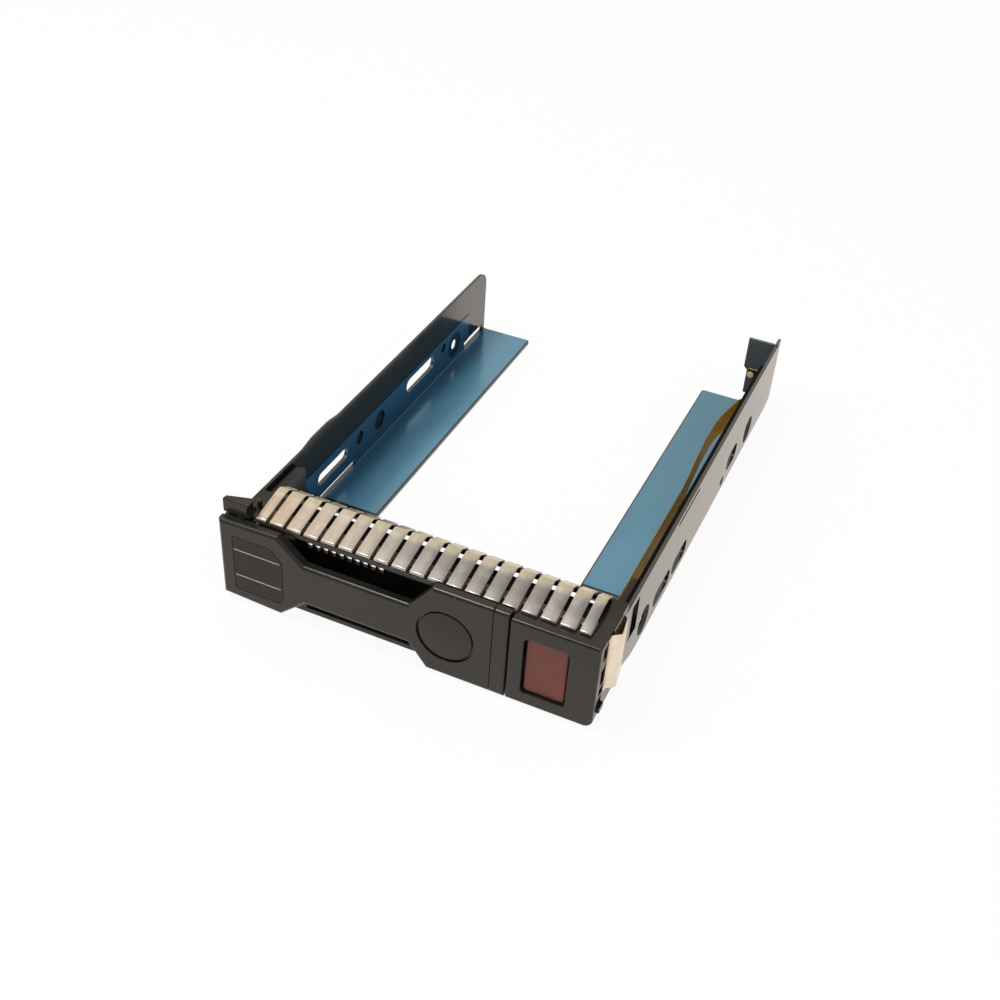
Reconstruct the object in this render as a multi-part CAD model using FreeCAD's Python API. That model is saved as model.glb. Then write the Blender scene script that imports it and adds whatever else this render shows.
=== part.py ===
"""Hot swap carrier for a 3.5 inch drive: a moulded bezel with a swing lever and a release button,
two folded sheet rails that carry the drive, shielding springs, and a flex cable to the rear tab.

Working frame, in mm: X to the right seen from the front, Y from the front face into the depth,
Z up from the underside of the rails. Everything is moved at the end, so that the origin is the
middle of the base.
"""
import FreeCAD, Part
import math
import os

V = FreeCAD.Vector

# Drive and rails
DRIVE_W = 101.6          # width of the drive that slides between the rails
DRIVE_GAP = 0.2          # side clearance of the drive
FLEX_ROOM = 3.1          # extra room on the right for the flex cable
SHEET = 1.0              # thickness of the rail sheet
BEND = 0.6               # inside radius of the folds
RAIL_H = 24.7            # height of the rail walls
LEDGE_W = 19.25          # width of the left ledge over the wall
RAIL_REAR = 164.3        # rear end of the ledges and of the left wall
WALL_EXTRA = 4.3         # what the right wall reaches past the ledges
LEDGE_FRONT = 46.0       # front end of the ledges
WALL_JOIN = 0.1          # gap between the bezel shoulder and the walls
WALL_LIFT = 4.9          # height of the wall's lower edge at its front end
WALL_LIFT_RUN = 24.0     # length over which that edge comes down
REAR_ROUND = 5.0         # rounding of the left wall's upper rear corner
LEDGE_CHAMFER = 3.0      # front corners of the ledges
LEDGE_CORNER = 1.0       # rear corners of the ledges

# Drive screws, to the drive's side hole pattern
SCREW_PITCH = 101.6      # between the two side holes
SCREW_FROM_REAR = 28.5   # from the drive's rear face to the first hole
SCREW_UP = 6.35          # above the drive's underside
SCREW_R = 1.8            # clearance hole
DIMPLE_R = 4.6           # countersink for the screw head
DIMPLE_DEPTH = 0.6

# Rear tab of the right rail
TAB_TOP = 23.5
TAB_LOW = 12.7
TAB_FOOT = 2.6
TAB_W = 10.35            # reach inward from the wall's outer face
TAB_STEP = 1.2           # the foot of the tab is narrower by this much
TAIL_RISE = 1.0          # raised corner at the rear end of the right wall
TAIL_LENGTH = 2.2
TAIL_LIFT = 1.2          # how much its lower edge rises to the rear

# Insulating films
FILM = 0.2
FILM_H = 13.9            # how far the films go up the walls
FILM_EDGE = 0.5          # the films end this far inside the ledge edges
FILM_WALL_REAR = 14.0    # on the wall a film stops this far before the rear end
FILM_WALL_FRONT = 8.0    # and starts this far in front of the ledge

# Windows of the rail walls: front, rear, bottom, top
SNAP_WINDOW = (23.2, 29.5, 11.2, 22.5)
# From the rails' rear end forward: far end, near end, bottom, top; and for round ones middle, height, radius
LEFT_SLOTS = ((117.8, 100.1, 7.1, 11.1), (61.4, 41.4, 7.3, 12.2))
LEFT_SLITS = ((116.9, 95.3, 1.2, 3.2), (17.3, 1.8, 1.2, 3.7))
LEFT_DENTS = ((92.6, 9.5, 2.1), (79.6, 8.3, 3.1), (34.2, 10.6, 1.6))
DENT_DEPTH = 0.4
RIGHT_SLOTS = ((119.0, 104.7, 4.1, 9.5), (102.8, 89.3, 3.5, 9.0), (49.8, 38.8, 5.6, 11.8))
RIGHT_HOLES = ((53.3, 4.9, 1.6),)
CLIP_WINDOWS = ((103.0, 84.0, 22.3, 23.3),)
LEFT_BUMP = (40.0, 60.5, 1.0)   # front, rear and height of the raised top edge
BUMP_RUN = 5.5                  # length of its slopes
BUMP_ROUND = 12.0

# Bezel body
BODY_D = 19.0            # depth from the front face to the shoulder
BODY_Z = 1.0             # underside
BODY_TOP = 28.2          # top face under the shielding strip
SKIN = 1.5               # wall of the moulding
TOP_SKIN = 1.2
SET_BACK = 4.0           # front wall behind the lever
STRIP_Y = 3.0            # front edge of the top strip above the lever
STRIP_H = 1.8            # height of that edge
LEVER_GAP = 0.5          # between the lever's right edge and the block
BLOCK_Z = 0.7
BLOCK_ROUND = 2.4        # lower right corner
EDGE_ROUND = 0.9         # front edges of the block
RIB = 1.2

# Hand recess above the lever band, with its air vents
GRIP_X0 = -37.0
GRIP_X1 = 7.6
GRIP_REAR = 11.6
GRIP_Z0 = 9.0
GRIP_Z1 = 27.0
VENT_Z = 16.8
VENT_PITCH = 2.4
VENT_W = 1.75
VENT_X0 = -35.0
VENTS = 10
LOW_WINDOW = (-31.0, 1.0, 2.5, 6.5)     # window under the lever band: left, right, bottom, top

# Ear over the lever's pivot
EAR_X0 = -54.8
EAR_X1 = -45.7
EAR_Y0 = 3.0
EAR_THIN = 1.1           # depth of its top at the left end
EAR_DEEP = 3.3           # depth of its top at the right end
EAR_TURN_X = -47.5       # where the slanted back ends
EAR_TOP = 32.3
EAR_BITE_R = 3.4
EAR_BITE_X = -44.2
EAR_BITE_Z = 30.0
EAR_SEAT_Y = 7.2         # rear edge of the pin's seat behind the ear
EAR_SEAT_TOP = 29.2
KNOB = (-46.8, 8.2, 0.7, 30.9)   # small knob behind the ear: X, Y, radius, top
SHOULDER_Y = 10.6        # the body's top ends here behind the ear

# Lever
PIVOT_X = -50.0
PIVOT_Y = 4.6
PIN_R = 1.2
PIN_RUN = 0.05           # running clearance of the pin in the hub
HUB_R = 3.2
FOOT_Z0 = 0.2            # foot of the body under the hub
FOOT_Z1 = 1.1
HUB_Z0 = 2.7
HUB_Z1 = 26.8
HUB_CAP_R = 4.8          # round cap over the upper knuckle
HUB_CAP_T = 1.0
SPRING_Z0 = 10.0
SPRING_Z1 = 18.0
SWING_R = 7.2            # room that the body leaves round the pivot
SWING_TOP = 27.9
LEVER_T = 2.6            # thickness of the front plate
LEVER_BACK = 3.8         # back of the stiffening rim
LEVER_L = -54.9          # left edge
LEVER_R = 29.4           # right edge
TRIM_W = 4.3             # width of the end trim
SEAM = 0.12
LABEL_TOP = 27.6
LABEL_Z0 = 1.6           # lower left corner
LABEL_R = -37.0          # right end of the label panel's edges
PANEL_TOP = 29.1
PANEL_Z = 0.6            # lower edge of the ring panel
PANEL_L = 8.2            # left end of the ring panel's top
PANEL_LOW_L = 6.9
BAND_TOP = 20.6
BAND_LOW = 7.5
BAND_X0 = -29.2
BAND_X1 = 1.5
LEVER_ROUND = 1.1        # front edges
RIM = 1.4                # width of the rim behind the plate
RIM_INSET = 1.6

# Ring disc
DISC_X = 12.2
DISC_Z = 14.2
DISC_R = 7.5
DISC_DOME = 0.35
RING_W = 0.7
RING_SINK = 0.7
SEAT_DEPTH = 1.6
SEAT_STEP = 0.9
FIT = 0.05               # clearance of pieces set into one another

# Label inlay: left, right, bottom, top
INLAY = (-50.6, -35.7, 4.8, 22.9)
INLAY_T = 0.3
INLAY_GROOVE = 0.2
INLAY_CUT = 3.6
INLAY_ROUND = 2.7

# Release button and latch
WIN_LEFT = 3.7           # from the block's left side to its window
WIN_W = 12.3
WIN_Z = (4.7, 23.4)      # bottom and top of the window
WIN_ROUND = 1.4
BTN_GAP = 0.5
BTN_SINK = 0.85
BTN_T = 1.6
BTN_EDGE = 0.3           # chamfer round the face
BTN_TRAVEL = 1.5
BTN_SPARE = 0.2          # room left behind the pressed button
LATCH_Z0 = 12.0
LATCH_Z1 = 16.0
LATCH_Y0 = 7.0
LATCH_Y1 = 9.0
LATCH_NOSE_GAP = 0.1     # between the nose and the lever's tongue
LATCH_END = 9.4          # from the window's left side to the latch's right end
LATCH_RUN = 0.1
RAMP_IN = 5.4            # from the window's left side to the foot of the button's ramp
CATCH_IN = 5.0           # from the lever's right edge to the tip of its tongue
CATCH_W = 2.8
CATCH_BACK = 8.6
CATCH_ROOM = 0.9

# Coil springs
BTN_SPRING_R = 1.8
BTN_SPRING_WIRE = 0.25
BTN_SPRING_TURNS = 4
LEVER_SPRING_R = 2.05
LEVER_SPRING_WIRE = 0.35
LEVER_SPRING_TURNS = 3
SPRING_CUP = 12.6        # rear seat of the button spring

# Shielding springs
FINGERS = 19
FINGER_X0 = -45.95
FINGER_PITCH = 5.135
FINGER_W = 4.07
STRIP_CUT = 1.15         # both end fingers are narrower by this much
LEAF_T = 0.25
FOLD_Y = 3.25            # front fold of the strip
FOLD_H = 0.72            # height of the front fold
FOLD_CUT = 0.2           # how much its two corners are broken
FOLD_RUN = 3.0           # length of each finger's foot in front of the common base
CREST_Z = 31.3
CREST_Y0 = 13.2
CREST_Y1 = 15.0
FINGER_TAIL_Y = 18.7
FINGER_TAIL_Z = 28.75
BASE_REAR = 8.7          # rear edge of the strip's base on the body
TOP_SLOT = (14.8, 17.7)  # light gaps in the body between the fingers: front, rear
TOP_SLOT_LEFT = 2.7      # how far they reach to the left under each finger
SIDE_LEAF_Z0 = 9.5
SIDE_LEAF_Z1 = 27.6
SIDE_LEAF_FOOT = (5.0, 6.8)      # foot on the body's side: front, rear
SIDE_LEAF_CREST = (8.5, 2.2)     # highest line: Y, height over the body's side
SIDE_LEAF_REAR = (14.7, 1.3)     # rear bend
SIDE_LEAF_END = 15.5     # where it meets the body's side again
SIDE_LEAF_TIP = 8.6      # front end of the leg that comes back along the side
SIDE_LEAF_R = 0.6
SIDE_LEAF_TURN = 0.3
LEAF_SEAT = 0.02         # clearance under the leaf
SIDE_WINDOWS = ((4.4, 9.0), (9.9, 12.6), (13.8, 19.0), (22.2, 26.2))
SIDE_WINDOW_Y = (2.4, 5.0)
HOOK = (2.8, 5.6, 4.2, 6.0)     # small moulded hook: front, rear, bottom, top
HOOK_REACH = 0.7

# Status board and flex cable
BOARD_W = 11.8
BOARD_Z = (3.6, 25.0)    # bottom and top
BOARD_GAP = 0.6          # between the board and the lever's tongue
BOARD_T = 1.0
BOSS_H = 1.3
BOSS_R = 1.7
BOARD_SCREW_R = 0.8
LED = 1.2
CONN_IN = 1.7            # from the board's sides to its socket
CONN_Z = (10.0, 18.6)
CONN_T = 2.2
FLEX_T = 0.2
FLEX_Z0 = 10.4
FLEX_Z1 = 18.2
FLEX_WALL = 4.85         # from the wall's inner face to the cable's front run
FLEX_LANE = 15.4         # Y of the run across the body
CABLE_ROOM = 0.4         # clearance round the cable in the moulding
FLEX_BOW = 1.4           # how much further the cable bows away from the wall
FLEX_END_WALL = 1.4      # from the wall to the cable at the rear
# From the rails' rear end forward: where the bow starts, is widest, ends and meets the wall
FLEX_BOW_YS = (78.3, 55.0, 40.0, 17.0)
# The cable narrows: from, to, both from the rear end, then bottom and top
FLEX_TAIL = (26.3, 12.3, 8.6, 12.4)
FLEX_RADII = (2.4, 2.4, 120.0, 100.0, 60.0, 40.0, 2.0)
GUIDE_W = 1.2
GUIDE_Z0 = 20.2
GUIDE_Z1 = 24.2
GUIDE_SHORT = 12.3       # the guide ends this far before the rails
GUIDE_LIP = 0.5
PAD = (45.9, 10.3, 1.15)         # contact pad on the tab: X, height, radius

# Values that follow from the sizes above
BLOCK_X = LEVER_R + LEVER_GAP
TRIM_X = LEVER_R - TRIM_W
CATCH_X1 = LEVER_R - CATCH_IN
CATCH_X0 = CATCH_X1 - CATCH_W
LATCH_NOSE_X = CATCH_X1 + LATCH_NOSE_GAP
WIN = (BLOCK_X + WIN_LEFT, BLOCK_X + WIN_LEFT + WIN_W) + WIN_Z
RAMP_X = WIN[0] + RAMP_IN
LATCH_X1 = WIN[0] + LATCH_END
BOARD = (CATCH_X0 - BOARD_GAP - BOARD_W, CATCH_X0 - BOARD_GAP) + BOARD_Z
CONN = (BOARD[0] + CONN_IN, BOARD[1] - CONN_IN) + CONN_Z
BTN_BACK = LATCH_Y0 - BTN_TRAVEL - BTN_SPARE
HALF = (DRIVE_W + 2 * DRIVE_GAP + FLEX_ROOM) / 2 + SHEET
WALL_IN = HALF - SHEET
WALL_FRONT = BODY_D + WALL_JOIN
TAB_REAR = RAIL_REAR + WALL_EXTRA
LEDGE_RIGHT = LEDGE_W + FLEX_ROOM
DRIVE_REAR = TAB_REAR - SHEET - DRIVE_GAP - FLEX_T
SCREW_Z = SHEET + FILM + SCREW_UP
SCREW_YS = (DRIVE_REAR - SCREW_FROM_REAR - SCREW_PITCH, DRIVE_REAR - SCREW_FROM_REAR)
MID_X = (HALF + SIDE_LEAF_CREST[1] + LEAF_SEAT + LEAF_T + LEVER_L) / 2
MID_Y = (TAB_REAR - DISC_DOME) / 2
FAR = 300.0


# Basic shapes

def box(x0, x1, y0, y1, z0, z1):
    """Block between two corners."""
    return Part.makeBox(x1 - x0, y1 - y0, z1 - z0, V(x0, y0, z0))


def rod(r, start, end):
    """Round bar between two points."""
    way = V(*end) - V(*start)
    return Part.makeCylinder(r, way.Length, V(*start), way)


def prism(points, way):
    """Closed outline of points, carried along a vector."""
    corners = [V(*p) for p in points]
    return Part.Face(Part.makePolygon(corners + corners[:1])).extrude(V(*way))


def plate_y(points, y0, y1):
    """Outline in X and Z, thick along Y."""
    return prism([(x, y0, z) for x, z in points], (0, y1 - y0, 0))


def plate_x(points, x0, x1):
    """Outline in Y and Z, thick along X."""
    return prism([(x0, y, z) for y, z in points], (x1 - x0, 0, 0))


def plate_z(points, z0, z1):
    """Outline in X and Y, thick along Z."""
    return prism([(x, y, z0) for x, y in points], (0, 0, z1 - z0))


def edges_where(shape, test):
    """Straight edges whose middle and direction pass the test."""
    found = []
    for edge in shape.Edges:
        if edge.Curve.TypeId != "Part::GeomLine":
            continue
        ends = [v.Point for v in edge.Vertexes]
        if len(ends) == 2 and test((ends[0] + ends[1]) * 0.5, (ends[1] - ends[0]).normalize()):
            found.append(edge)
    return found


def rounded(shape, radius, test):
    """The shape with a fillet on the chosen straight edges."""
    chosen = edges_where(shape, test)
    return shape.makeFillet(radius, chosen) if chosen else shape


def rounded_block(x0, x1, y0, y1, z0, z1, radius, axis):
    """Block whose four edges along one axis are rounded."""
    r = min(radius, 0.49 * min(x1 - x0 if axis != 0 else FAR, y1 - y0 if axis != 1 else FAR,
                               z1 - z0 if axis != 2 else FAR))
    return rounded(box(x0, x1, y0, y1, z0, z1), r, lambda mid, way: abs(way[axis]) > 0.99)


def ribbon(path, radii, thick, to_point, way):
    """Strip of one thickness along straight runs joined by tangent arcs, carried along a vector.

    path holds the corners in the plane of the strip, radii the centre-line radius at each inner
    corner, and to_point turns plane coordinates into a point.
    """
    pts = [V(u, w, 0) for u, w in path]
    sides = {1: [], -1: []}
    normal = V(0, 0, 1)
    ways = [(b - a).normalize() for a, b in zip(pts, pts[1:])]
    half = thick / 2
    for side, marks in sides.items():
        marks.append((pts[0] + normal.cross(ways[0]) * half * side,))
        for corner, before, after, radius in zip(pts[1:-1], ways, ways[1:], radii):
            turn = before.getAngle(after)
            left = normal.dot(before.cross(after)) > 0
            reach = radius * math.tan(turn / 2)
            inward = normal.cross(before) * (1 if left else -1)
            centre = corner - before * reach + inward * radius
            r = radius - half * side * (1 if left else -1)
            spoke_a = inward * -1
            spoke_b = normal.cross(after) * (-1 if left else 1)
            spoke_m = (spoke_a + spoke_b).normalize()
            marks.append((centre + spoke_a * r, centre + spoke_m * r, centre + spoke_b * r))
        marks.append((pts[-1] + normal.cross(ways[-1]) * half * side,))
    there = outline_edges(sides[1], to_point)
    back = outline_edges([tuple(reversed(m)) for m in reversed(sides[-1])], to_point)
    first, last = sides[1][0][0], sides[1][-1][0]
    caps = [Part.LineSegment(to_point(last), to_point(sides[-1][-1][0])).toShape(),
            Part.LineSegment(to_point(sides[-1][0][0]), to_point(first)).toShape()]
    wire = Part.Wire(Part.__sortEdges__(there + back + caps))
    return Part.Face(wire).extrude(V(*way))


def outline_edges(marks, to_point):
    """Lines between the marks, with an arc where a mark holds three points."""
    edges = []
    for before, after in zip(marks, marks[1:]):
        if (before[-1] - after[0]).Length > 1e-6:
            edges.append(Part.LineSegment(to_point(before[-1]), to_point(after[0])).toShape())
        if len(after) == 3:
            edges.append(Part.Arc(*[to_point(p) for p in after]).toShape())
    return edges


def mitred(path, thick, x0, x1):
    """Strip of one thickness with sharp bends along a path in Y and Z, from one X to another."""
    pts = [V(0, y, z) for y, z in path]
    ways = [(b - a).normalize() for a, b in zip(pts, pts[1:])]
    sides = ([], [])
    for point, before, after in zip(pts, ways[:1] + ways, ways + ways[-1:]):
        mean = (before + after).normalize()
        reach = V(1, 0, 0).cross(mean) * (thick / 2 / mean.dot(after))
        sides[0].append(point + reach)
        sides[1].append(point - reach)
    return plate_x([(p.y, p.z) for p in sides[0] + sides[1][::-1]], x0, x1)


def coil(radius, wire, height, turns, start, axis):
    """Coil spring along an axis."""
    helix = Part.makeHelix(height / turns, height, radius)
    corners = [V(radius + wire * dx, 0, wire * dz) for dx, dz in ((1, 0), (0, 1), (-1, 0), (0, -1), (1, 0))]
    profile = Part.makePolygon(corners)
    spring = Part.Wire(helix).makePipeShell([profile], True, True)
    spring.Placement = FreeCAD.Placement(V(*start), FreeCAD.Rotation(V(0, 0, 1), V(*axis)))
    return spring


# Rails

def rail_profile(side, ledge):
    """Folded sheet: wall and ledge with a rounded fold."""
    wall = box(WALL_IN, HALF, WALL_FRONT, RAIL_REAR, 0, RAIL_H)
    shelf = box(HALF - ledge, HALF, WALL_FRONT, RAIL_REAR, 0, SHEET)
    fold = wall.fuse(shelf).removeSplitter()
    fold = rounded(fold, BEND + SHEET,
                   lambda m, w: abs(w.y) > 0.99 and m.x > HALF - 0.01 and m.z < 0.01)
    fold = rounded(fold, BEND,
                   lambda m, w: abs(w.y) > 0.99 and abs(m.x - WALL_IN) < 0.01 and abs(m.z - SHEET) < 0.01)
    ledge_edge = HALF - ledge
    front = plate_z([(WALL_IN, 0), (WALL_IN, LEDGE_FRONT), (ledge_edge + LEDGE_CHAMFER, LEDGE_FRONT),
                     (ledge_edge - 1, LEDGE_FRONT + LEDGE_CHAMFER + 1), (ledge_edge - 1, 0)],
                    -1, SHEET + 2 * BEND)
    lift = plate_x([(0, -1), (LEDGE_FRONT, -1), (LEDGE_FRONT, 0),
                    (WALL_FRONT + WALL_LIFT_RUN * 0.4, WALL_LIFT * 0.4), (WALL_FRONT, WALL_LIFT),
                    (0, WALL_LIFT)], WALL_IN - BEND, HALF + 1)
    fold = fold.cut(front).cut(lift)
    fold = rounded(fold, LEDGE_CORNER,
                   lambda m, w: abs(w.z) > 0.99 and abs(m.x - ledge_edge) < 0.01 and m.y > RAIL_REAR - 0.01)
    return fold if side > 0 else mirrored(fold)


def mirrored(shape):
    """The same shape on the left side."""
    return shape.mirror(V(0, 0, 0), V(1, 0, 0))


def wall_tool(side):
    """X limits of a cut that goes through one wall."""
    low, high = WALL_IN - BEND, HALF + 1
    return (low, high) if side > 0 else (-high, -low)


def from_rear(marks):
    """Marks whose first two values are given forward from the rails' rear end, turned into Y."""
    return [(RAIL_REAR - a, RAIL_REAR - b, z0, z1) for a, b, z0, z1 in marks]


def round_window(side, y, z, r):
    """Round hole through a wall."""
    x0, x1 = wall_tool(side)
    return rod(r, (x0, y, z), (x1, y, z))


def long_window(side, y0, y1, z0, z1):
    """Long hole through a wall with round ends."""
    x0, x1 = wall_tool(side)
    return rounded_block(x0, x1, y0, y1, z0, z1, FAR, 0)


def square_window(side, y0, y1, z0, z1):
    """Hole with square corners through a wall."""
    x0, x1 = wall_tool(side)
    return box(x0, x1, y0, y1, z0, z1)


def screw_holes(side):
    """Countersunk holes for the drive screws."""
    tools = []
    for y in SCREW_YS:
        tools.append(round_window(side, y, SCREW_Z, SCREW_R))
        tools.append(Part.makeCone(DIMPLE_R, SCREW_R, DIMPLE_DEPTH, V(side * HALF, y, SCREW_Z), V(-side, 0, 0)))
    return tools


def left_rail():
    rail = rail_profile(-1, LEDGE_W)
    y0, y1, rise = LEFT_BUMP
    bump = plate_x([(y0, RAIL_H - 1), (y0, RAIL_H), (y0 + BUMP_RUN, RAIL_H + rise), (y1 - BUMP_RUN, RAIL_H + rise),
                    (y1, RAIL_H), (y1, RAIL_H - 1)], -HALF, -WALL_IN)
    rail = rail.fuse(bump).removeSplitter()
    rail = rounded(rail, BUMP_ROUND,
                   lambda m, w: abs(w.x) > 0.99 and m.z > RAIL_H - 0.01 and y0 - 1 < m.y < y1 + 1)
    rail = rounded(rail, REAR_ROUND,
                   lambda m, w: abs(w.x) > 0.99 and m.y > RAIL_REAR - 0.01 and m.z > RAIL_H - 0.01)
    tools = screw_holes(-1) + left_openings()
    tools.append(square_window(-1, *SNAP_WINDOW))
    for y, z, r in LEFT_DENTS:
        tools.append(rod(r, (-WALL_IN + 1, RAIL_REAR - y, z), (-WALL_IN - DENT_DEPTH, RAIL_REAR - y, z)))
    return rail.cut(tools)


def left_openings():
    """Windows that both the left wall and its film have."""
    tools = [long_window(-1, *marks) for marks in from_rear(LEFT_SLOTS)]
    return tools + [square_window(-1, *marks) for marks in from_rear(LEFT_SLITS)]


def right_openings():
    """Windows that both the right wall and its film have."""
    tools = [long_window(1, *marks) for marks in from_rear(RIGHT_SLOTS)]
    return tools + [round_window(1, RAIL_REAR - y, z, r) for y, z, r in RIGHT_HOLES]


def left_film():
    """Film on the left, with round openings over the wall's dents."""
    over = [round_window(-1, RAIL_REAR - y, z, r + FILM) for y, z, r in LEFT_DENTS]
    return film(-1, LEDGE_W, left_openings() + over)


def right_rail():
    rail = rail_profile(1, LEDGE_RIGHT)
    tail = plate_x([(RAIL_REAR - 1, SHEET + BEND), (RAIL_REAR, SHEET + BEND),
                    (TAB_REAR, SHEET + BEND + TAIL_LIFT),
                    (TAB_REAR, RAIL_H + TAIL_RISE), (TAB_REAR - TAIL_LENGTH, RAIL_H + TAIL_RISE),
                    (TAB_REAR - TAIL_LENGTH - TAIL_RISE, RAIL_H), (RAIL_REAR - 1, RAIL_H)], WALL_IN, HALF)
    tab = plate_y([(HALF, TAB_FOOT), (HALF, TAB_TOP), (HALF - TAB_W, TAB_TOP), (HALF - TAB_W, TAB_LOW),
                   (HALF - TAB_W + TAB_STEP, TAB_LOW - TAB_STEP), (HALF - TAB_W + TAB_STEP, TAB_FOOT)],
                  TAB_REAR - SHEET, TAB_REAR)
    rail = rail.fuse([tail, tab]).removeSplitter()
    rail = rounded(rail, BEND, lambda m, w: abs(w.z) > 0.99 and abs(m.x - WALL_IN) < 0.01
                   and abs(m.y - (TAB_REAR - SHEET)) < 0.01)
    tools = screw_holes(1) + right_openings()
    tools.append(square_window(1, *SNAP_WINDOW))
    tools += [square_window(1, *marks) for marks in from_rear(CLIP_WINDOWS)]
    return rail.cut(tools)


def film(side, ledge, openings):
    """Insulating film that lines a ledge and the lower part of its wall."""
    y0, y1 = LEDGE_FRONT + LEDGE_CHAMFER + 1, RAIL_REAR - FILM_EDGE
    outer = box(HALF - ledge + FILM_EDGE, WALL_IN, y0, y1, SHEET, FILM_H)
    outer = rounded(outer, BEND, lambda m, w: abs(w.y) > 0.99 and m.x > WALL_IN - 0.01 and m.z < SHEET + 0.01)
    inner = box(HALF - ledge, WALL_IN - FILM, y0 - 1, y1 + 1, SHEET + FILM, FILM_H + 1)
    inner = rounded(inner, BEND - FILM, lambda m, w: abs(w.y) > 0.99 and m.x > WALL_IN - FILM - 0.01
                    and m.z < SHEET + FILM + 0.01)
    rear = box(WALL_IN - FILM - BEND, WALL_IN + 1, RAIL_REAR - FILM_WALL_REAR, y1 + 1, SHEET + BEND, FILM_H + 1)
    front = box(WALL_IN - FILM, WALL_IN, LEDGE_FRONT - FILM_WALL_FRONT, y0, SHEET + BEND, FILM_H)
    sheet = outer.cut(inner).cut(rear).fuse(front).removeSplitter()
    sheet = sheet if side > 0 else mirrored(sheet)
    heads = [round_window(side, y, SCREW_Z, DIMPLE_R) for y in SCREW_YS]
    return sheet.cut(openings + heads)


# Bezel body

def body_shell():
    """Main moulding without its recesses: the long part behind the lever and the right-hand block."""
    long_part = box(-HALF, BLOCK_X + SKIN, SET_BACK, BODY_D, BODY_Z, BODY_TOP)
    strip = box(EAR_X1, BLOCK_X, STRIP_Y, SET_BACK, BODY_TOP - STRIP_H, BODY_TOP)
    block = box(BLOCK_X, HALF, 0, BODY_D, BLOCK_Z, BODY_TOP)
    block = rounded(block, BLOCK_ROUND, lambda m, w: abs(w.y) > 0.99 and m.x > HALF - 0.01 and m.z < BLOCK_Z + 0.01)
    block = rounded(block, EDGE_ROUND, lambda m, w: m.y < 0.01 and (m.z > BODY_TOP - 0.01 or m.x > HALF - 0.01))
    return long_part, strip, block


def body_cavities():
    """Hollow inside of the moulding, open at the rear."""
    left = box(-HALF + SKIN, BLOCK_X, SET_BACK + SKIN, BODY_D + 1, BODY_Z + SKIN, BODY_TOP - TOP_SKIN)
    right = box(BLOCK_X + SKIN, HALF - SKIN, SKIN, BODY_D + 1, BLOCK_Z + SKIN, BODY_TOP - TOP_SKIN)
    return [left, right]


def grip_tub():
    """Walls round the hand recess."""
    outer = box(GRIP_X0 - RIB, GRIP_X1 + RIB, SET_BACK, GRIP_REAR + RIB, GRIP_Z0 - RIB, BODY_TOP - TOP_SKIN / 2)
    hollow = box(GRIP_X0, GRIP_X1, SET_BACK - 1, GRIP_REAR, GRIP_Z0, GRIP_Z1)
    return outer, hollow


def vents():
    """Row of air vents in the rear wall of the hand recess."""
    return [box(VENT_X0 + i * VENT_PITCH, VENT_X0 + i * VENT_PITCH + VENT_W, GRIP_REAR - 1, GRIP_REAR + RIB + 1,
                VENT_Z, GRIP_Z1) for i in range(VENTS)]


def finger_gaps():
    """Left and right side of each gap between two fingers."""
    return [(FINGER_X0 + i * FINGER_PITCH + FINGER_W, FINGER_X0 + (i + 1) * FINGER_PITCH)
            for i in range(FINGERS - 1)]


def ear():
    """Raised corner that holds the top of the pivot pin, with a round bite for the hand."""
    plan = [(EAR_X0, EAR_Y0), (EAR_X1, EAR_Y0), (EAR_X1, EAR_Y0 + EAR_DEEP), (EAR_TURN_X, EAR_Y0 + EAR_DEEP),
            (EAR_X0, EAR_Y0 + EAR_THIN)]
    block = plate_z(plan, SWING_TOP, EAR_TOP)
    block = rounded(block, min(EDGE_ROUND, EAR_THIN / 2),
                    lambda m, w: m.z > EAR_TOP - 0.01 and (m.x < EAR_X0 + 0.01 or m.y < EAR_Y0 + 0.01))
    bite = rod(EAR_BITE_R, (EAR_BITE_X, EAR_Y0 - 1, EAR_BITE_Z), (EAR_BITE_X, EAR_SEAT_Y, EAR_BITE_Z))
    seat = box(EAR_X0, EAR_X1, EAR_Y0, EAR_SEAT_Y, SWING_TOP, EAR_SEAT_TOP)
    x, y, r, top = KNOB
    knob = rod(r, (x, y, SWING_TOP), (x, y, top))
    return block.cut(bite).fuse([seat.cut(bite), knob]).removeSplitter()


def ear_room():
    """What is taken off the body's top behind the ear, down to the height of the rail walls."""
    return [box(-HALF - 1, EAR_TURN_X, EAR_SEAT_Y, BODY_D + 1, RAIL_H, BODY_TOP + 1),
            box(-HALF - 1, EAR_X1, SHOULDER_Y, BODY_D + 1, RAIL_H, BODY_TOP + 1)]


def shoulder():
    """Lid of the hollow body behind the ear."""
    return box(-HALF, EAR_X1 + SKIN, EAR_SEAT_Y, BODY_D, RAIL_H - SKIN, RAIL_H)


def swing_room():
    """Room for the lever round its pivot: wide where its end comes round, narrow elsewhere."""
    low = LABEL_Z0 - 0.3
    wide = rod(SWING_R, (PIVOT_X, PIVOT_Y, low), (PIVOT_X, PIVOT_Y, SWING_TOP))
    hub = rod(HUB_CAP_R + 0.4, (PIVOT_X, PIVOT_Y, low), (PIVOT_X, PIVOT_Y, SWING_TOP))
    front = box(PIVOT_X - FAR, PIVOT_X + SWING_R, PIVOT_Y - FAR, PIVOT_Y, low, SWING_TOP)
    return [wide.common(box(PIVOT_X - FAR, PIVOT_X, -FAR, FAR, 0, FAR)), hub, wide.common(front),
            box(-HALF - 1, PIVOT_X, 0, PIVOT_Y, low, SWING_TOP)]


def pivot_seat():
    """Foot under the lever's hub."""
    return box(PIVOT_X - HUB_R, PIVOT_X + HUB_R + 3 * SKIN, LEVER_T + 0.2, PIVOT_Y + SWING_R + SKIN,
               FOOT_Z0, FOOT_Z1)


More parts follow.
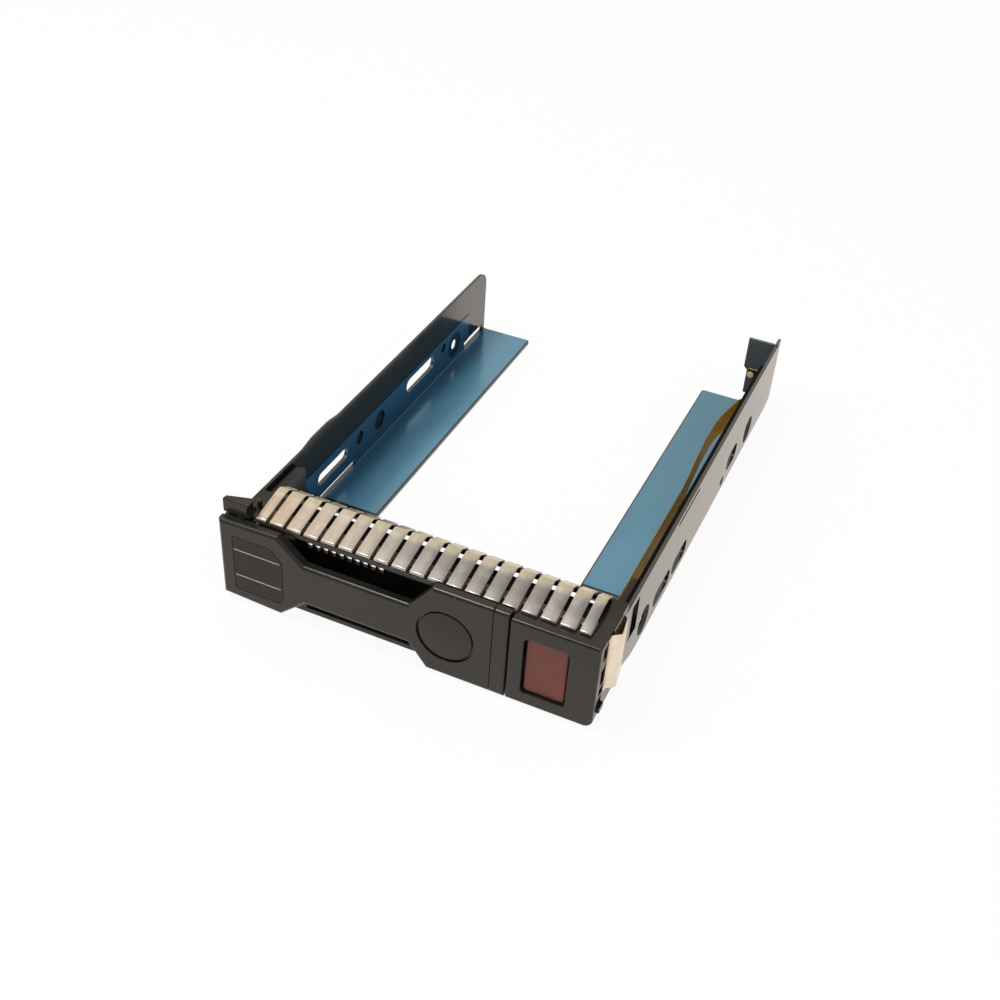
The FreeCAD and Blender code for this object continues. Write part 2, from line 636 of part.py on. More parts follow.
def side_arm(side):
    """Arm inside a rail wall with the tab that snaps into the wall's window."""
    y0, y1, z0, z1 = SNAP_WINDOW
    x = WALL_IN - 2 * SKIN
    arm = box(x, WALL_IN - 0.05, BODY_D - RIB, y1 + 4 * SKIN, z0 - SKIN, z1 + SKIN / 2)
    arm = rounded(arm, SKIN, lambda m, w: abs(w.x) > 0.99 and m.y > y1)
    ramp = plate_z([(WALL_IN - SKIN, y0 + 0.3), (HALF - 0.1, y0 + 0.3), (HALF - 0.1, y0 + 1.3),
                    (WALL_IN - SKIN, y1 - 0.3)], z0 + 0.3, z1 - 0.3)
    arm = arm.fuse(ramp)
    return arm if side > 0 else mirrored(arm)


def latch_guides():
    """Two ribs across the block that carry the latch, one above and one below it, and a back stop."""
    ribs = []
    y0, y1 = BTN_BACK + BTN_TRAVEL + 2 * BTN_SPARE, LATCH_Y1 + 2 * RIB
    for z in (LATCH_Z0 - LATCH_RUN - RIB, LATCH_Z1 + LATCH_RUN):
        ribs.append(box(BLOCK_X, HALF - SKIN / 2, y0, y1, z, z + RIB))
    back = box(BLOCK_X, WIN[0], LATCH_Y1 + LATCH_RUN, y1, LATCH_Z0 - RIB, LATCH_Z1 + RIB)
    return ribs + [back]


def spring_axis():
    """X and Z of the button spring, above the latch."""
    return (WIN[0] + WIN[1]) / 2, LATCH_Z1 + LATCH_RUN + RIB + BTN_SPRING_R + BTN_SPRING_WIRE + 0.3


def spring_cup():
    """Bridge across the block that the button spring rests on."""
    _, z = spring_axis()
    reach = BTN_SPRING_R + BTN_SPRING_WIRE + 0.4
    return box(BLOCK_X, HALF - SKIN / 2, SPRING_CUP, SPRING_CUP + RIB, z - reach, z + reach)


def board_bosses():
    """Posts that carry the status board."""
    return [rod(BOSS_R, (x, SET_BACK + SKIN / 2, z), (x, SET_BACK + SKIN + BOSS_H, z))
            for x, z in board_screws_at()]


def cable_slots():
    """Notch in the block's inner wall and slot along the right arm, where the cable passes."""
    z0, z1 = FLEX_Z0 - CABLE_ROOM, FLEX_Z1 + CABLE_ROOM
    notch = box(BLOCK_X - 1, BLOCK_X + SKIN + 1, FLEX_LANE - 2 * CABLE_ROOM, BODY_D + 1, z0, z1)
    x = WALL_IN - FLEX_WALL
    slot = box(x - CABLE_ROOM, x + CABLE_ROOM, BODY_D - 2 * SKIN, WALL_FRONT + 2 * SNAP_WINDOW[1], 0, z1)
    return [notch, slot]


def board_screws_at():
    """X and Z of the board's two screws."""
    return [(BOARD[0] + 2, BOARD[2] + 2), (BOARD[1] - 2, BOARD[3] - 2)]


def bezel_body():
    long_part, strip, block = body_shell()
    body = long_part.fuse([strip, block])
    body = body.cut(body_cavities() + ear_room())
    tub, hollow = grip_tub()
    inner = [tub, ear(), shoulder(), pivot_seat(), side_arm(-1), side_arm(1), spring_cup()]
    inner += latch_guides() + board_bosses()
    body = body.fuse(inner).removeSplitter()
    tools = [hollow] + vents()
    tools += [box(x0 - TOP_SLOT_LEFT, x1, TOP_SLOT[0], TOP_SLOT[1], BODY_TOP - 2 * TOP_SKIN, BODY_TOP + 1)
              for x0, x1 in finger_gaps()]
    tools.append(box(LOW_WINDOW[0], LOW_WINDOW[1], SET_BACK - 1, SET_BACK + SKIN + 1, LOW_WINDOW[2], LOW_WINDOW[3]))
    tools += swing_room()
    tools.append(pivot_pin())
    tools.append(rounded_block(WIN[0], WIN[1], -1, SKIN + 1, WIN[2], WIN[3], WIN_ROUND, 1))
    tools.append(box(CATCH_X0 - CATCH_ROOM, CATCH_X1 + CATCH_ROOM, 0, SET_BACK + SKIN + 0.5,
                     LATCH_Z0 - 0.6, LATCH_Z1 + 0.6))
    tools.append(box(BLOCK_X - 0.5, BLOCK_X + SKIN + 0.5, LATCH_Y0 - LATCH_RUN, LATCH_Y1 + LATCH_RUN,
                     LATCH_Z0 - LATCH_RUN, LATCH_Z1 + LATCH_RUN))
    for z0, z1 in SIDE_WINDOWS:
        tools.append(box(HALF - 2 * SKIN, HALF + 1, SIDE_WINDOW_Y[0], SIDE_WINDOW_Y[1], z0, z1))
    tools += [rod(BOARD_SCREW_R, (x, SET_BACK + SKIN, z), (x, SET_BACK + SKIN + BOSS_H + 1, z))
              for x, z in board_screws_at()]
    tools += cable_slots()
    for x in led_xs():
        tools.append(box(x - LED, x + LED, SET_BACK - 1, SET_BACK + SKIN + FIT, DISC_Z - LED, DISC_Z + LED))
    hook = box(HALF - SKIN / 2, HALF + HOOK_REACH, *HOOK)
    return body.cut(tools).fuse(hook).removeSplitter()


# Lever and what is on it

def lever_outline():
    """Front view of the lever: label panel, band and ring panel."""
    slope_l = BAND_X0 - LABEL_R
    return [(LEVER_L, LABEL_Z0), (LABEL_R, PANEL_Z), (BAND_X0, BAND_LOW), (BAND_X1, BAND_LOW),
            (PANEL_LOW_L, PANEL_Z), (TRIM_X - SEAM, PANEL_Z), (TRIM_X - SEAM, PANEL_TOP), (PANEL_L, PANEL_TOP),
            (BAND_X1, BAND_TOP), (BAND_X0, BAND_TOP), (BAND_X0 - slope_l, LABEL_TOP), (LEVER_L, LABEL_TOP - 0.4)]


def inset_outline(points, amount):
    """Outline moved inward by one amount."""
    wire = Part.makePolygon([V(x, 0, z) for x, z in points + points[:1]])
    face = Part.Face(wire)
    return face.makeOffset2D(-amount, 2, False, False, True)


def front_rounded(plate, radius, keep):
    """Fillet on the edges of the front face that pass the test."""
    return rounded(plate, radius, lambda m, w: m.y < 0.01 and keep(m, w))


def lever_plate():
    """Front plate with rounded front edges and a stiffening rim behind it."""
    plate = plate_y(lever_outline(), 0, LEVER_T)
    plate = front_rounded(plate, min(LEVER_ROUND, 0.45 * LEVER_T), lambda m, w: m.x < TRIM_X - 1)
    outer = inset_outline(lever_outline(), RIM_INSET)
    inner = inset_outline(lever_outline(), RIM_INSET + RIM)
    rim = outer.extrude(V(0, LEVER_BACK, 0)).cut(inner.extrude(V(0, LEVER_BACK, 0)))
    rim = rim.common(box(-FAR, FAR, LEVER_T - 0.5, LEVER_BACK, -FAR, BODY_TOP - STRIP_H - 0.4))
    return plate.fuse(rim)


def lever_hub():
    """Two knuckles round the pin, joined to the plate."""
    parts = []
    for z0, z1 in ((HUB_Z0, SPRING_Z0), (SPRING_Z1, HUB_Z1)):
        parts.append(rod(HUB_R, (PIVOT_X, PIVOT_Y, z0), (PIVOT_X, PIVOT_Y, z1)))
        parts.append(box(PIVOT_X - HUB_R, PIVOT_X + HUB_R, LEVER_T - 0.5, PIVOT_Y, z0, z1))
    cap = rod(HUB_CAP_R, (PIVOT_X, PIVOT_Y, HUB_Z1 - HUB_CAP_T), (PIVOT_X, PIVOT_Y, HUB_Z1))
    parts.append(cap.common(box(LEVER_L, EAR_X1, LEVER_T - 1.0, FAR, 0, FAR)))
    return parts


def lever_catch():
    """Tongue behind the ring panel that the latch holds."""
    z0, z1 = LATCH_Z0 + 0.2, LATCH_Z1 - 0.2
    return plate_z([(CATCH_X0, LEVER_T - 0.5), (CATCH_X1 - 1, LEVER_T - 0.5), (CATCH_X1 - 1, LATCH_Y1 - 1.6),
                    (CATCH_X1, LATCH_Y1 - 1.2), (CATCH_X1, LATCH_Y1 - 0.8), (CATCH_X1 - 0.9, CATCH_BACK),
                    (CATCH_X0, CATCH_BACK)], z0, z1)


def label_outline(grow):
    """Outline of the label field: one corner cut off, one rounded."""
    x0, x1, z0, z1 = INLAY
    x0, x1, z0, z1 = x0 - grow, x1 + grow, z0 - grow, z1 + grow
    field = plate_y([(x0, z0), (x1, z0), (x1, z1 - INLAY_CUT), (x1 - INLAY_CUT, z1), (x0, z1)], 0, INLAY_T)
    return rounded(field, INLAY_ROUND, lambda m, w: abs(w.y) > 0.99 and m.x > x1 - 0.01 and m.z < z0 + 0.01)


def lever():
    body = lever_plate().fuse(lever_hub() + [lever_catch()]).removeSplitter()
    seat = rod(DISC_R + RING_W + FIT, (DISC_X, -1, DISC_Z), (DISC_X, SEAT_DEPTH, DISC_Z))
    through = rod(DISC_R - SEAT_STEP, (DISC_X, 0, DISC_Z), (DISC_X, LEVER_BACK + 1, DISC_Z))
    pin = rod(PIN_R + PIN_RUN, (PIVOT_X, PIVOT_Y, 0), (PIVOT_X, PIVOT_Y, EAR_TOP))
    gap = rod(HUB_R + 0.2, (PIVOT_X, PIVOT_Y, SPRING_Z0), (PIVOT_X, PIVOT_Y, SPRING_Z1))
    gap = gap.common(box(-FAR, FAR, LEVER_T - 1.0, FAR, 0, FAR))
    return body.cut([seat, through, pin, gap, label_outline(INLAY_GROOVE)])


def lever_end_trim():
    """Moulded end of the lever, right of the thin seam."""
    trim = box(TRIM_X + SEAM, LEVER_R, 0, LEVER_T, PANEL_Z, PANEL_TOP)
    trim = front_rounded(trim, min(LEVER_ROUND, 0.45 * LEVER_T),
                         lambda m, w: abs(w.x) > 0.9 or m.x > LEVER_R - 0.01)
    left = TRIM_X - SEAM - RIM_INSET + FIT
    lug = box(left, LEVER_R - RIM, LEVER_T, LEVER_BACK, PANEL_Z + RIM_INSET, LATCH_Z0 - 1)
    upper = box(left, LEVER_R - RIM, LEVER_T, LEVER_BACK, LATCH_Z1 + 1, BODY_TOP - STRIP_H - 0.6)
    return trim.fuse([lug, upper])


def ring_disc():
    """Slightly domed disc in the middle of the light ring."""
    flat = rod(DISC_R, (DISC_X, 0.2, DISC_Z), (DISC_X, SEAT_DEPTH, DISC_Z))
    ball_r = (DISC_R ** 2 + (DISC_DOME + 0.2) ** 2) / (2 * (DISC_DOME + 0.2))
    ball = Part.makeSphere(ball_r, V(DISC_X, ball_r - DISC_DOME, DISC_Z))
    cap = ball.common(rod(DISC_R, (DISC_X, -1, DISC_Z), (DISC_X, 0.2, DISC_Z)))
    return flat.fuse(cap).removeSplitter()


def ring_light_guide():
    """Clear ring round the disc, sunk under the face."""
    outer = rod(DISC_R + RING_W, (DISC_X, RING_SINK, DISC_Z), (DISC_X, SEAT_DEPTH, DISC_Z))
    return outer.cut(rod(DISC_R + FIT, (DISC_X, 0, DISC_Z), (DISC_X, SEAT_DEPTH + 1, DISC_Z)))


def label_inlay():
    return label_outline(0)


# Button, latch, pin and springs

def release_button():
    """Red cap with a hollow back and a ramp that moves the latch."""
    x0, x1, z0, z1 = WIN[0] + BTN_GAP, WIN[1] - BTN_GAP, WIN[2] + BTN_GAP, WIN[3] - BTN_GAP
    cap = rounded_block(x0, x1, BTN_SINK, BTN_BACK, z0, z1, WIN_ROUND - BTN_GAP / 2, 1)
    cap = cap.makeChamfer(BTN_EDGE, [e for e in cap.Edges if e.BoundBox.YMax < BTN_SINK + 0.01])
    hollow = box(x0 + RIB, x1 - RIB, BTN_SINK + BTN_T, BTN_BACK + 1, z0 + RIB, z1 - RIB)
    zm0, zm1 = LATCH_Z0 + 0.5, LATCH_Z1 - 0.5
    ramp = plate_z([(RAMP_X - 3, BTN_SINK + BTN_T - 0.5), (RAMP_X, BTN_SINK + BTN_T - 0.5),
                    (RAMP_X, LATCH_Y0 - 0.3), (RAMP_X - 1.7, LATCH_Y0 + 1.4), (RAMP_X - 3, LATCH_Y0 + 1.4)], zm0, zm1)
    post_x, post_z = spring_axis()
    post = rod(BTN_SPRING_R - BTN_SPRING_WIRE - 0.15, (post_x, BTN_SINK + BTN_T - 0.5, post_z),
               (post_x, BTN_BACK, post_z))
    return cap.cut(hollow).fuse([ramp, post]).removeSplitter()


def button_spring():
    x, z = spring_axis()
    front = BTN_SINK + BTN_T + BTN_SPRING_WIRE + 0.05
    height = SPRING_CUP - BTN_SPRING_WIRE - 0.05 - front
    return coil(BTN_SPRING_R, BTN_SPRING_WIRE, height, BTN_SPRING_TURNS, (x, front, z), (0, 1, 0))


def latch_slider():
    """Bar that slides behind the button, with the nose that holds the lever's tongue."""
    z0, z1 = LATCH_Z0, LATCH_Z1
    bar = plate_z([(LATCH_NOSE_X, LATCH_Y0 + 0.6), (LATCH_NOSE_X + 0.6, LATCH_Y0), (RAMP_X - 3.4, LATCH_Y0),
                   (LATCH_X1, LATCH_Y0), (LATCH_X1, LATCH_Y1), (LATCH_NOSE_X, LATCH_Y1)], z0, z1)
    room = plate_z([(RAMP_X - 6, LATCH_Y0 - 1), (RAMP_X + 1.4, LATCH_Y0 - 1), (RAMP_X + 0.1, LATCH_Y0 - 0.3),
                    (RAMP_X - 1.6, LATCH_Y0 + 1.5), (RAMP_X - 1.6, LATCH_Y1 + 1), (RAMP_X - 6, LATCH_Y1 + 1)],
                   z0 + 0.3, z1 - 0.3)
    return bar.cut(room)


def pivot_pin():
    return rod(PIN_R, (PIVOT_X, PIVOT_Y, FOOT_Z0), (PIVOT_X, PIVOT_Y, EAR_SEAT_TOP))


def lever_spring():
    """Torsion spring round the pin between the two knuckles."""
    height = SPRING_Z1 - SPRING_Z0 - 2 * LEVER_SPRING_WIRE - 0.2
    return coil(LEVER_SPRING_R, LEVER_SPRING_WIRE, height, LEVER_SPRING_TURNS,
                (PIVOT_X, PIVOT_Y, SPRING_Z0 + LEVER_SPRING_WIRE + 0.1), (0, 0, 1))


# Shielding springs

def emi_finger_strip():
    """Sheet strip folded back at the front edge into a row of arched fingers."""
    base_z = BODY_TOP + LEAF_T / 2
    first = FINGER_X0 + STRIP_CUT
    last = FINGER_X0 + (FINGERS - 1) * FINGER_PITCH + FINGER_W - STRIP_CUT
    front = FOLD_Y + LEAF_T / 2
    path = [(FOLD_Y + FOLD_RUN, base_z), (front + FOLD_CUT, base_z), (front, base_z + FOLD_CUT),
            (front, base_z + FOLD_H - FOLD_CUT), (front + FOLD_CUT, base_z + FOLD_H + FOLD_CUT / 4),
            (CREST_Y0, CREST_Z - LEAF_T), (CREST_Y1, CREST_Z - LEAF_T / 2), (FINGER_TAIL_Y, FINGER_TAIL_Z)]
    strip = box(first, last, FOLD_Y + FOLD_RUN, BASE_REAR, BODY_TOP, BODY_TOP + LEAF_T)
    lefts = [FINGER_X0 + i * FINGER_PITCH for i in range(FINGERS)]
    fingers = [mitred(path, LEAF_T, max(x, first), min(x + FINGER_W, last)) for x in lefts]
    return strip.fuse(fingers).removeSplitter()


def emi_side_leaf():
    """Bowed spring leaf on the right side of the bezel, folded back on itself along the side."""
    side = HALF + LEAF_SEAT + LEAF_T / 2
    path = [(side, SIDE_LEAF_FOOT[0]), (side, SIDE_LEAF_FOOT[1])]
    path += [(side + rise, y) for y, rise in (SIDE_LEAF_CREST, SIDE_LEAF_REAR)]
    path += [(side, SIDE_LEAF_END), (side, SIDE_LEAF_TIP)]
    return ribbon(path, (SIDE_LEAF_R, SIDE_LEAF_R, SIDE_LEAF_TURN, SIDE_LEAF_TURN), LEAF_T,
                  lambda p: V(p.x, p.y, SIDE_LEAF_Z0), (0, 0, SIDE_LEAF_Z1 - SIDE_LEAF_Z0))


# Status board, cable and its guide

def board_y():
    """Front face of the status board."""
    return SET_BACK + SKIN + BOSS_H


def led_xs():
    mid = (BOARD[0] + BOARD[1]) / 2
    return [mid - 4, mid, mid + 4]


def status_board():
    board = box(BOARD[0], BOARD[1], board_y(), board_y() + BOARD_T, BOARD[2], BOARD[3])
    return board.cut([rod(BOARD_SCREW_R + FIT, (x, 0, z), (x, BODY_D, z)) for x, z in board_screws_at()])


def status_leds():
    """Small lamps on the front of the board."""
    return Part.makeCompound([box(x - LED / 2, x + LED / 2, board_y() - LED / 2, board_y(), DISC_Z - LED / 2,
                                  DISC_Z + LED / 2) for x in led_xs()])


def board_screws():
    """Two small screws that hold the board on its posts."""
    back = board_y() + BOARD_T
    screws = []
    for x, z in board_screws_at():
        shank = rod(BOARD_SCREW_R, (x, SET_BACK + SKIN + 0.1, z), (x, back, z))
        screws.append(shank.fuse(rod(BOARD_SCREW_R * 1.9, (x, back, z), (x, back + 0.9, z))).removeSplitter())
    return Part.makeCompound(screws)


def board_connector():
    """Socket on the back of the board that the cable plugs into."""
    y = board_y() + BOARD_T
    socket = box(CONN[0], CONN[1], y, y + CONN_T, CONN[2] - 0.4, CONN[3] + 0.4)
    x = cable_start()
    return socket.cut(box(x - FLEX_T / 2, x + FLEX_T / 2, y + 0.6, y + CONN_T + 1, FLEX_Z0, FLEX_Z1))


def cable_start():
    return (CONN[0] + CONN[1]) / 2


def flex_cable():
    """Flat cable from the board's socket along the right wall to the rear tab."""
    start = board_y() + BOARD_T + 0.6
    run, end = WALL_IN - FLEX_WALL, WALL_IN - FLEX_END_WALL
    bow, y_bow, y_back, y_wall = [RAIL_REAR - y for y in FLEX_BOW_YS]
    end_y = TAB_REAR - SHEET - FLEX_T / 2
    tip = HALF - TAB_W + TAB_STEP + 0.6
    path = [(cable_start(), start), (cable_start(), FLEX_LANE), (run, FLEX_LANE), (run, bow),
            (run - FLEX_BOW, y_bow), (run - FLEX_BOW, y_back), (end, y_wall), (end, end_y), (tip, end_y)]
    low, top = FLEX_TAIL[2:]
    y0, y1 = [RAIL_REAR - y for y in FLEX_TAIL[:2]]
    cable = ribbon(path, FLEX_RADII, FLEX_T, lambda p: V(p.x, p.y, low), (0, 0, FLEX_Z1 - low))
    side = [(0, FLEX_Z0), (y0, FLEX_Z0), (y1, low), (TAB_REAR, low), (TAB_REAR, top), (y1, top), (y0, FLEX_Z1),
            (0, FLEX_Z1)]
    return cable.common(plate_x(side, 0, HALF))


def flex_guide():
    """Channel along the top of the right wall, clipped into its small windows."""
    x0 = WALL_IN - GUIDE_W
    y0, y1 = BODY_D + 0.3, RAIL_REAR - GUIDE_SHORT
    section = [(x0, GUIDE_Z1), (WALL_IN - LEAF_SEAT, GUIDE_Z1), (WALL_IN - LEAF_SEAT, GUIDE_Z0),
               (WALL_IN - GUIDE_LIP, GUIDE_Z0), (WALL_IN - GUIDE_LIP, GUIDE_Z1 - GUIDE_LIP),
               (x0, GUIDE_Z1 - GUIDE_LIP)]
    bar = plate_y(section, y0, y1)
    clips = [box(WALL_IN - GUIDE_LIP / 2, HALF - 0.2, a + 0.2, b - 0.2, c + 0.15, d - 0.15)
             for a, b, c, d in from_rear(CLIP_WINDOWS)]
    arm = box(x0 - 1, WALL_IN, 0, SNAP_WINDOW[1] + 4 * SKIN + 0.3, 0, SNAP_WINDOW[3] + SKIN / 2 + 0.1)
    return bar.fuse(clips).removeSplitter().cut(arm)


def rear_stiffener():
    """Plate that backs the end of the cable on the rear tab."""
    y = TAB_REAR - SHEET - FLEX_T
    return box(HALF - TAB_W + TAB_STEP + 0.6, WALL_IN - FLEX_END_WALL - 2.6, y - 0.3, y,
               FLEX_TAIL[2] + 0.3, FLEX_TAIL[3] - 0.3)


def rear_contacts():
    """Bright contact pad on the stiffener, with a small raised middle."""
    y = TAB_REAR - SHEET - FLEX_T - 0.3
    x, z, r = PAD
    return rod(r, (x, y - 0.12, z), (x, y, z)).fuse(rod(r / 2, (x, y - 0.25, z), (x, y - 0.1, z))).removeSplitter()


PIECES = {
    "left_rail": left_rail,
    "right_rail": right_rail,
    "left_film": left_film,
    "right_film": lambda: film(1, LEDGE_RIGHT, right_openings()),
    "bezel_body": bezel_body,
    "lever": lever,
    "lever_end_trim": lever_end_trim,
    "ring_disc": ring_disc,
    "ring_light_guide": ring_light_guide,
    "label_inlay": label_inlay,
    "release_button": release_button,
    "button_spring": button_spring,
    "latch_slider": latch_slider,
    "pivot_pin": pivot_pin,
    "lever_spring": lever_spring,
    "emi_finger_strip": emi_finger_strip,
    "emi_side_leaf": emi_side_leaf,
    "status_board": status_board,
    "status_leds": status_leds,
    "board_screws": board_screws,
    "board_connector": board_connector,
    "flex_cable": flex_cable,
    "flex_guide": flex_guide,
    "rear_stiffener": rear_stiffener,
    "rear_contacts": rear_contacts,
}

os.makedirs("parts", exist_ok=True)
for name, make in PIECES.items():
    shape = make()
    shape.translate(V(-MID_X, -MID_Y, 0))
    shape.exportStep("parts/" + name + ".step")
    print(name, len(shape.Solids), shape.isValid(), round(shape.Volume, 2))
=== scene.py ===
"""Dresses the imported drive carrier: a finish for every piece, rounded fingers, the label's two lines and
the stage."""

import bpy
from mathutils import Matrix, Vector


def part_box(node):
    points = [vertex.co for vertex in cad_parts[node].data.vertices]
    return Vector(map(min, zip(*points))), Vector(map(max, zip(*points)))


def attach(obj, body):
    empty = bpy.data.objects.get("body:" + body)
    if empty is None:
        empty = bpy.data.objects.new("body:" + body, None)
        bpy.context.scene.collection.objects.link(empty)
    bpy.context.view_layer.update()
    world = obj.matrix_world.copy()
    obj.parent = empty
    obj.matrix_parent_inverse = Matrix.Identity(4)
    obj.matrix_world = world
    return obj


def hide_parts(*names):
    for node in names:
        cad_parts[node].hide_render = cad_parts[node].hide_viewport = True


bl_info = {
    "name": "Drive carrier looks",
    "version": (1, 0, 0),
    "blender": (4, 5, 0),
    "location": "View3D > Sidebar > Carrier",
    "description": "Materials, fine pieces, light and camera for a hot swap drive carrier",
    "category": "Object",
}

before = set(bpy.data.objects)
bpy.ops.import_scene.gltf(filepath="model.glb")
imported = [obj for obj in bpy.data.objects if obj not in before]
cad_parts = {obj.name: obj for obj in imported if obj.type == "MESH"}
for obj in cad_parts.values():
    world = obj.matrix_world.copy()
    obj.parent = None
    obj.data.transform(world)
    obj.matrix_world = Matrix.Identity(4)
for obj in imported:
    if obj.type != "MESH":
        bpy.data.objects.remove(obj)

import math

import bpy
import numpy as np
from bpy.props import FloatProperty, FloatVectorProperty, IntProperty, PointerProperty
from mathutils import Matrix, Vector

MM = 0.001
LEVER_LEFT = -54.9     # the lever's left edge in the drawing's frame, in millimetres
RAIL_SHEET = 1.0       # the rails' thickness, in millimetres

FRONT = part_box("lever")[0].y                      # the lever's front face, where the drawing's Y starts
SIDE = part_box("lever")[0].x - LEVER_LEFT * MM     # where the drawing's X is zero
WALL_MIDDLE = (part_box("left_rail")[0].x - SIDE) / MM + RAIL_SHEET / 2    # half way through the left wall

# The drive's screw holes, in millimetres in the drawing's frame
SCREW_HOLES = (37.1, 138.7)     # how far behind the front face
SCREW_UP = 7.55                 # how high
COUNTERSINK = 4.5               # radius of the dull ring round each


def drawn(points):
    """Millimetres in the drawing's frame (Y from the front face) to metres in the row's frame."""
    return np.asarray(points, float) * MM + (SIDE, FRONT, 0.0)


# Shader maths

class Socket:
    """A node's output. Arithmetic on a socket that carries a number adds Math nodes."""

    def __init__(self, finish, output):
        self.finish, self.output = finish, output

    def math(self, operation, *values):
        return self.finish.node("Math", {"operation": operation}, dict(enumerate(values)))

    def __add__(self, other):
        return self.math("ADD", self, other)

    def __radd__(self, other):
        return self.math("ADD", other, self)

    def __sub__(self, other):
        return self.math("SUBTRACT", self, other)

    def __rsub__(self, other):
        return self.math("SUBTRACT", other, self)

    def __mul__(self, other):
        return self.math("MULTIPLY", self, other)

    def __rmul__(self, other):
        return self.math("MULTIPLY", other, self)

    def __gt__(self, other):
        return self.math("GREATER_THAN", self, other)

    def __lt__(self, other):
        return self.math("LESS_THAN", self, other)

    def root(self):
        return self.math("POWER", self, 0.5)

    def sine(self):
        return self.math("SINE", self)

    def largest(self, other):
        return self.math("MAXIMUM", self, other)

    def step(self, low, high):
        """A smooth rise from 0 to 1 while the value goes from low to high."""
        return self.finish.node("MapRange", {"interpolation_type": "SMOOTHSTEP"}, {0: self, 1: low, 2: high})


class Finish:
    """One material, made of nodes."""

    def __init__(self, name):
        self.open(bpy.data.materials.new(name))
        self.place = self.node("TexCoord", out="Object")

    def open(self, block):
        """Starts with the empty node tree of a material or a world."""
        block.use_nodes = True
        self.block, self.tree = block, block.node_tree
        self.tree.nodes.clear()

    def node(self, kind, settings=None, sockets=None, out=0):
        """Adds a node: its type, then its settings, then the values or links of its sockets."""
        new = self.tree.nodes.new("ShaderNode" + kind)
        for key, value in (settings or {}).items():
            if key == "stops":
                ramp = new.color_ramp
                while len(ramp.elements) < len(value):
                    ramp.elements.new(1.0)
                for stop, (position, colour) in zip(ramp.elements, value):
                    stop.position, stop.color = position, colour
            else:
                setattr(new, key, value)
        for key, value in (sockets or {}).items():
            if isinstance(value, Socket):
                self.tree.links.new(value.output, new.inputs[key])
            else:
                new.inputs[key].default_value = value
        return Socket(self, new.outputs[out])

    def axes(self, names):
        """The named axes of the drawing's frame in millimetres: "xz" gives X and Z."""
        starts = {"x": SIDE, "y": FRONT, "z": 0.0}
        return [self.node("SeparateXYZ", sockets={0: self.place}, out="xyz".index(name)) * 1000.0
                - starts[name] * 1000.0 for name in names]

    def noise(self, size, detail=2.0, stretch=(1.0, 1.0, 1.0), rough=0.5):
        """Noise whose grains are about size mm, longer along the axes where stretch is over 1."""
        scale = tuple(1000.0 / size / s for s in stretch)
        spot = self.node("Mapping", sockets={"Vector": self.place, "Scale": scale})
        return self.node("TexNoise", sockets={"Vector": spot, "Scale": 1.0, "Detail": detail,
                                              "Roughness": rough})

    def cells(self, size):
        """Distance to scattered points that lie about size mm apart."""
        spot = self.node("Mapping", sockets={"Vector": self.place, "Scale": (1000.0 / size,) * 3})
        return self.node("TexVoronoi", {"feature": "F1"}, {"Vector": spot, "Scale": 1.0}, "Distance")

    def mix(self, factor, first, second):
        """A colour between first and second."""
        return self.node("Mix", {"data_type": "RGBA"}, {0: factor, 6: rgba(first), 7: rgba(second)}, 2)

    def bump(self, height, strength, depth, under=None):
        """A bumped normal: height times depth mm, over the rounded edges of under if it is given."""
        sockets = {"Height": height, "Strength": strength, "Distance": depth * MM}
        if under is not None:
            sockets["Normal"] = under
        return self.node("Bump", sockets=sockets)

    def soft_edges(self, radius):
        """The normal with each edge rounded by radius mm, as a mould or a press leaves it."""
        return self.node("Bevel", {"samples": 6}, {"Radius": radius * MM})

    def principled(self, **sockets):
        named = {key.replace("_", " ").title().replace("Ior", "IOR"): value for key, value in sockets.items()}
        return self.node("BsdfPrincipled", sockets=named)

    def surface(self, **sockets):
        return self.close(self.principled(**sockets))

    def close(self, shader, kind="OutputMaterial"):
        """Links the shader to the output and gives the finished material or world."""
        out = self.tree.nodes.new("ShaderNode" + kind)
        self.tree.links.new(shader.output, out.inputs["Surface"])
        return self.block


class Room(Finish):
    """The world round the object, made of the same nodes."""

    def __init__(self, name):
        self.open(bpy.data.worlds.new(name))


def rgba(colour):
    """A colour of three values with an alpha of 1. A socket or four values stay as they are."""
    return (*colour, 1.0) if isinstance(colour, tuple) and len(colour) == 3 else colour


def times(colour, factor):
    """The colour made darker, or paler where the factor is over 1."""
    return tuple(c * factor for c in colour)


# Finishes

